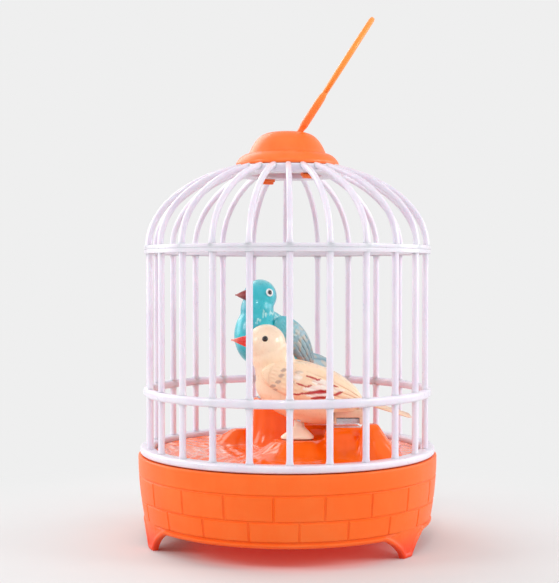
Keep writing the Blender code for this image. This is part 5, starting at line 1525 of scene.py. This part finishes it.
def bird_leg(form, material, colour_at):
    """A fixed leg: a foot with toes that rises into a stalk."""
    neck = min(4.3, form.leg - 0.4)
    stages = [  # height over the sole, half length, half width, shift and squareness
        (0.0, 6.0, 3.9, -0.6, 3.2),
        (0.3, 6.15, 3.98, -0.6, 3.0),
        (0.8, 6.0, 3.85, -0.58, 2.8),
        (0.8 + 0.5 * (neck - 0.8), 4.0, 2.7, -0.3, 2.5),
        (neck - 0.25, 2.15, 1.62, -0.02, 2.4),
        (neck + 0.1, 1.93, 1.5, 0.0, 2.4),
        (form.leg + 0.6, 1.9, 1.48, 0.0, 2.3),
        (form.leg + 1.4, 1.3, 1.46, 0.0, 2.2),
        (form.leg + 1.85, 0.5, 1.4, 0.0, 2.0),
    ]
    loops = []
    for rise, half_x, half_y, shift, power in stages:
        loops.append([(x + shift, y, rise - form.leg) for x, y in oval(half_x, half_y, power, 40)])
    leg = tube_object(f"{form.name}_foot", loops, form.matrix())
    bird_piece(leg, form, colour_at, material, f"{form.name}_leg", body="cage")


def build_bird(s, form, body_paint, wing_paint, tail_paint, beak, beak_tip, slot, ringed):
    """One bird, with a colour function for each painted part and two colours for its beak."""
    material = feathered(f"{form.name}_paint")
    smoother = feathered(f"{form.name}_wing_paint", depth=0.06, size=1.4)
    bird_body(s, form, material, body_paint)
    for side in (-1, 1):
        bird_wing(form, side, smoother, wing_paint)
    bird_tail(form, smoother, tail_paint)
    bird_beak(form, beak, beak_tip, slot)
    bird_eyes(form, ringed)
    bird_leg(form, smoother, plain_colour(getattr(s, form.tint), 0.9))


# Inner pieces that keep their CAD shape


def cover(name, material):
    """Puts a material on a CAD node."""
    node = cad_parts[name]
    if node.material_slots:
        for place in node.material_slots:
            place.material = material
    else:
        node.data.materials.append(material)


def build_inside():
    steel = metal("bright_steel", linear(222, 222, 226), 0.24)
    zinc = metal("zinc_plate", linear(200, 198, 190), 0.34, (1, 6, 1))
    black = moulded("black_plastic", linear(26, 26, 27), linear(46, 46, 48), 0.48, 0.05).material
    ferrite = moulded("ferrite", linear(34, 34, 38), linear(62, 62, 66), 0.7, 0.16, 3.0).material
    groups = {
        steel: ["cream_bird_magnet_bar", "blue_bird_magnet_bar", "cream_bird_pin", "blue_bird_pin",
                "handle_pin", "front_magnet_core", "back_magnet_core"],
        zinc: ["speaker_frame", "microphone", "switch_body", "bridging_contact", "negative_contact",
               "positive_contact", "battery_spring_1", "battery_spring_2", "battery_door_screw"],
        black: ["front_magnet_bobbin", "back_magnet_bobbin", "switch_knob", "sound_chip"],
        ferrite: ["speaker_magnet"],
        winding_material(): ["front_magnet_winding", "back_magnet_winding"],
        paper_material(): ["speaker_cone"],
        board_material(): ["circuit_board"],
        cell_material(): ["aa_cell_1", "aa_cell_2"],
    }
    for kind, count in (("cage_screw", 4), ("case_screw", 3), ("board_screw", 2)):
        groups[zinc] += [f"{kind}_{number}" for number in range(1, count + 1)]
    for material, names in groups.items():
        for name in names:
            cover(name, material)


# Stage


FLOOR_REACH = 6.0  # metres from the middle to an edge of the floor
CAMERA_DIP = 0.68  # degrees that the camera looks down
CAMERA_PAN = 0.38  # degrees that it looks to the left
LAMPS = [  # name, place, target, size, power's setting and share of it, and colour
    ("key_lamp", (-0.6, -0.22, 0.36), (0, 0, 0.08), 0.24, "key", 1.0, (1.0, 0.98, 0.96)),
    ("fill_lamp", (0.6, -0.22, 0.3), (0, 0, 0.08), 0.24, "fill", 1.0, (1.0, 0.98, 0.98)),
    ("spark_lamp", (-0.02, -0.46, 0.44), (0, 0, 0.07), 0.05, "spark", 1.0, (1.0, 1.0, 1.0)),
    ("back_lamp", (-0.42, 0.5, 0.52), (0, 0, 0.12), 0.6, "back", 1.5, (1.0, 0.98, 0.98)),
    ("left_lamp", (-0.62, 0.24, 0.22), (0, 0, 0.08), 0.36, "back", 0.55, (1.0, 0.98, 0.98)),
    ("right_lamp", (0.58, 0.16, 0.24), (0, 0, 0.1), 0.4, "back", 0.6, (1.0, 0.98, 0.98)),
    ("glow_lamp", (0.003, -0.015, 0.0045), (0.003, -0.015, 0), 0.078, "glow", 1.0, (1.0, 0.035, 0.015)),
]


def surface(tree, wire, kind):
    """Ends a node tree in the wire."""
    tree.links.new(wire.socket, tree.nodes.new(kind).inputs["Surface"])


def floor_material(s):
    """Matt near the object, the background's own colour far from it, and clear from below."""
    material = bpy.data.materials.new("pale_floor")
    material.use_nodes = True
    tree = material.node_tree
    tree.nodes.clear()
    place = object_place(tree)
    x, y = place.part("X"), place.part("Y")
    far = (x * x + y * y).maths("SQRT").step(70.0, 190.0)
    dark, light = ([part * share for part in s.floor] for share in (0.77, 0.79))
    matt = place.node("ShaderNodeBsdfDiffuse", {"Color": place.spots(30.0, 3.0).blend(dark, light)})
    plain = place.node("ShaderNodeEmission", {"Color": (*s.floor, 1.0)})
    seen = place.node("ShaderNodeLightPath", output="Is Camera Ray")
    upper = place.node("ShaderNodeMixShader", enumerate((far * seen, matt, plain)))
    clear = place.node("ShaderNodeBsdfTransparent")
    below = place.node("ShaderNodeNewGeometry", output="Backfacing")
    surface(tree, place.node("ShaderNodeMixShader", enumerate((below, upper, clear))), "ShaderNodeOutputMaterial")
    return material


def build_floor(s):
    mesh = bpy.data.meshes.new("floor")
    corners = [(x * FLOOR_REACH, y * FLOOR_REACH, 0) for x, y in ((-1, -1), (1, -1), (1, 1), (-1, 1))]
    mesh.from_pydata(corners, [], [(0, 1, 2, 3)])
    mesh.materials.append(floor_material(s))
    floor = placed("floor", mesh)


def build_room(s):
    """The background: plain to the camera, a soft light to everything else."""
    world = bpy.data.worlds.new("studio")
    bpy.context.scene.world = world
    world.use_nodes = True
    tree = world.node_tree
    tree.nodes.clear()
    seen = Wire(tree, tree.nodes.new("ShaderNodeLightPath").outputs["Is Camera Ray"])
    plain = seen.node("ShaderNodeBackground", {"Color": (*s.floor, 1.0), "Strength": 1.0})
    light = seen.node("ShaderNodeBackground", {"Color": (1.0, 0.985, 0.99, 1.0), "Strength": s.ambient})
    surface(tree, seen.node("ShaderNodeMixShader", enumerate((seen, light, plain))), "ShaderNodeOutputWorld")


def build_lamps(s):
    for name, place, target, size, setting, share, tint in LAMPS:
        data = bpy.data.lights.new(name, "AREA")
        data.shape = "DISK"
        data.size = size
        data.energy = getattr(s, setting) * share
        data.color = tint
        lamp = placed(name, data)
        lamp.location = place
        lamp.rotation_euler = (Vector(target) - Vector(place)).to_track_quat("-Z", "Y").to_euler()
        lamp.visible_camera = False


def build_camera(s):
    data = bpy.data.cameras.new("photo_camera")
    data.sensor_width = 36.0
    data.lens = s.lens
    data.clip_start = 0.02
    data.clip_end = 20.0
    camera = placed("photo_camera", data)
    camera.location = (0, -s.distance * MM, s.eye_height * MM)
    camera.rotation_euler = (math.radians(90 - CAMERA_DIP), 0, math.radians(CAMERA_PAN))
    bpy.context.scene.camera = camera


def build_stage(s):
    build_floor(s)
    build_room(s)
    build_lamps(s)
    build_camera(s)
    bpy.context.scene.view_settings.view_transform = "Standard"


# Operators


class Builder:
    """What every operator here shares."""

    bl_options = {"REGISTER", "UNDO"}

    def execute(self, context):
        self.build(context.scene)
        return {"FINISHED"}


class BIRDCAGE_OT_base(Builder, bpy.types.Operator):
    """Build the bowl with its bricks, skirt and feet"""

    bl_idname = "birdcage.base"
    bl_label = "Base"

    def build(self, scene):
        build_base(scene.birdcage_base)


class BIRDCAGE_OT_cage(Builder, bpy.types.Operator):
    """Build the cage's bars and rings and the dome's ribs"""

    bl_idname = "birdcage.cage"
    bl_label = "Cage"

    def build(self, scene):
        build_cage(scene.birdcage_cage)


class BIRDCAGE_OT_cap(Builder, bpy.types.Operator):
    """Build the hat and the carrying loop"""

    bl_idname = "birdcage.cap"
    bl_label = "Cap and loop"

    def build(self, scene):
        build_cap(scene.birdcage_cap)


class BIRDCAGE_OT_deck(Builder, bpy.types.Operator):
    """Build the floor in the cage with its water, rocks and stump"""

    bl_idname = "birdcage.deck"
    bl_label = "Floor and rocks"

    def build(self, scene):
        build_deck(scene.birdcage_deck)


class BIRDCAGE_OT_birds(Builder, bpy.types.Operator):
    """Build the two birds"""

    bl_idname = "birdcage.birds"
    bl_label = "Birds"

    def build(self, scene):
        s = scene.birdcage_birds
        cream = (cream_body_colour(s), cream_wing_colour(s), cream_tail_colour(s))
        build_bird(s, CREAM_FORM, *cream, s.red, linear(255, 176, 160), "red_plastic", False)
        blue = (blue_body_colour(s), blue_wing_colour(s), blue_tail_colour(s))
        build_bird(s, BLUE_FORM, *blue, s.maroon, linear(196, 120, 116), "maroon_plastic", True)


class BIRDCAGE_OT_inside(Builder, bpy.types.Operator):
    """Give the inner pieces their materials"""

    bl_idname = "birdcage.inside"
    bl_label = "Inner pieces"

    def build(self, _scene):
        build_inside()


class BIRDCAGE_OT_stage(Builder, bpy.types.Operator):
    """Build the floor, the lamps and the camera"""

    bl_idname = "birdcage.stage"
    bl_label = "Stage"

    def build(self, scene):
        build_stage(scene.birdcage_stage)


class BIRDCAGE_PT_panel(bpy.types.Panel):
    """Lists the pieces of the bird cage"""

    bl_label = "Bird cage"
    bl_space_type = "VIEW_3D"
    bl_region_type = "UI"
    bl_category = "Bird cage"

    def draw(self, context):
        for operator in OPERATORS:
            self.layout.operator(operator.bl_idname)
        for name, group in GROUPS.items():
            box = self.layout.box()
            box.label(text=group.__doc__)
            for key in group.__annotations__:
                box.prop(getattr(context.scene, name), key)


GROUPS = {
    "birdcage_base": BaseSettings,
    "birdcage_cage": CageSettings,
    "birdcage_cap": CapSettings,
    "birdcage_deck": DeckSettings,
    "birdcage_birds": BirdSettings,
    "birdcage_stage": StageSettings,
}
OPERATORS = (
    BIRDCAGE_OT_base,
    BIRDCAGE_OT_cage,
    BIRDCAGE_OT_cap,
    BIRDCAGE_OT_deck,
    BIRDCAGE_OT_birds,
    BIRDCAGE_OT_inside,
    BIRDCAGE_OT_stage,
)


def register():
    for name, group in GROUPS.items():
        bpy.utils.register_class(group)
        setattr(bpy.types.Scene, name, PointerProperty(type=group))
    for operator in OPERATORS:
        bpy.utils.register_class(operator)
    bpy.utils.register_class(BIRDCAGE_PT_panel)


def unregister():
    bpy.utils.unregister_class(BIRDCAGE_PT_panel)
    for operator in reversed(OPERATORS):
        bpy.utils.unregister_class(operator)
    for name, group in GROUPS.items():
        delattr(bpy.types.Scene, name)
        bpy.utils.unregister_class(group)


def main():
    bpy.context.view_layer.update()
    register()
    bpy.ops.birdcage.base()
    bpy.ops.birdcage.cage()
    bpy.ops.birdcage.cap()
    bpy.ops.birdcage.deck()
    bpy.ops.birdcage.birds()
    bpy.ops.birdcage.inside()
    bpy.ops.birdcage.stage()
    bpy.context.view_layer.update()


if __name__ == "__main__":
    main()
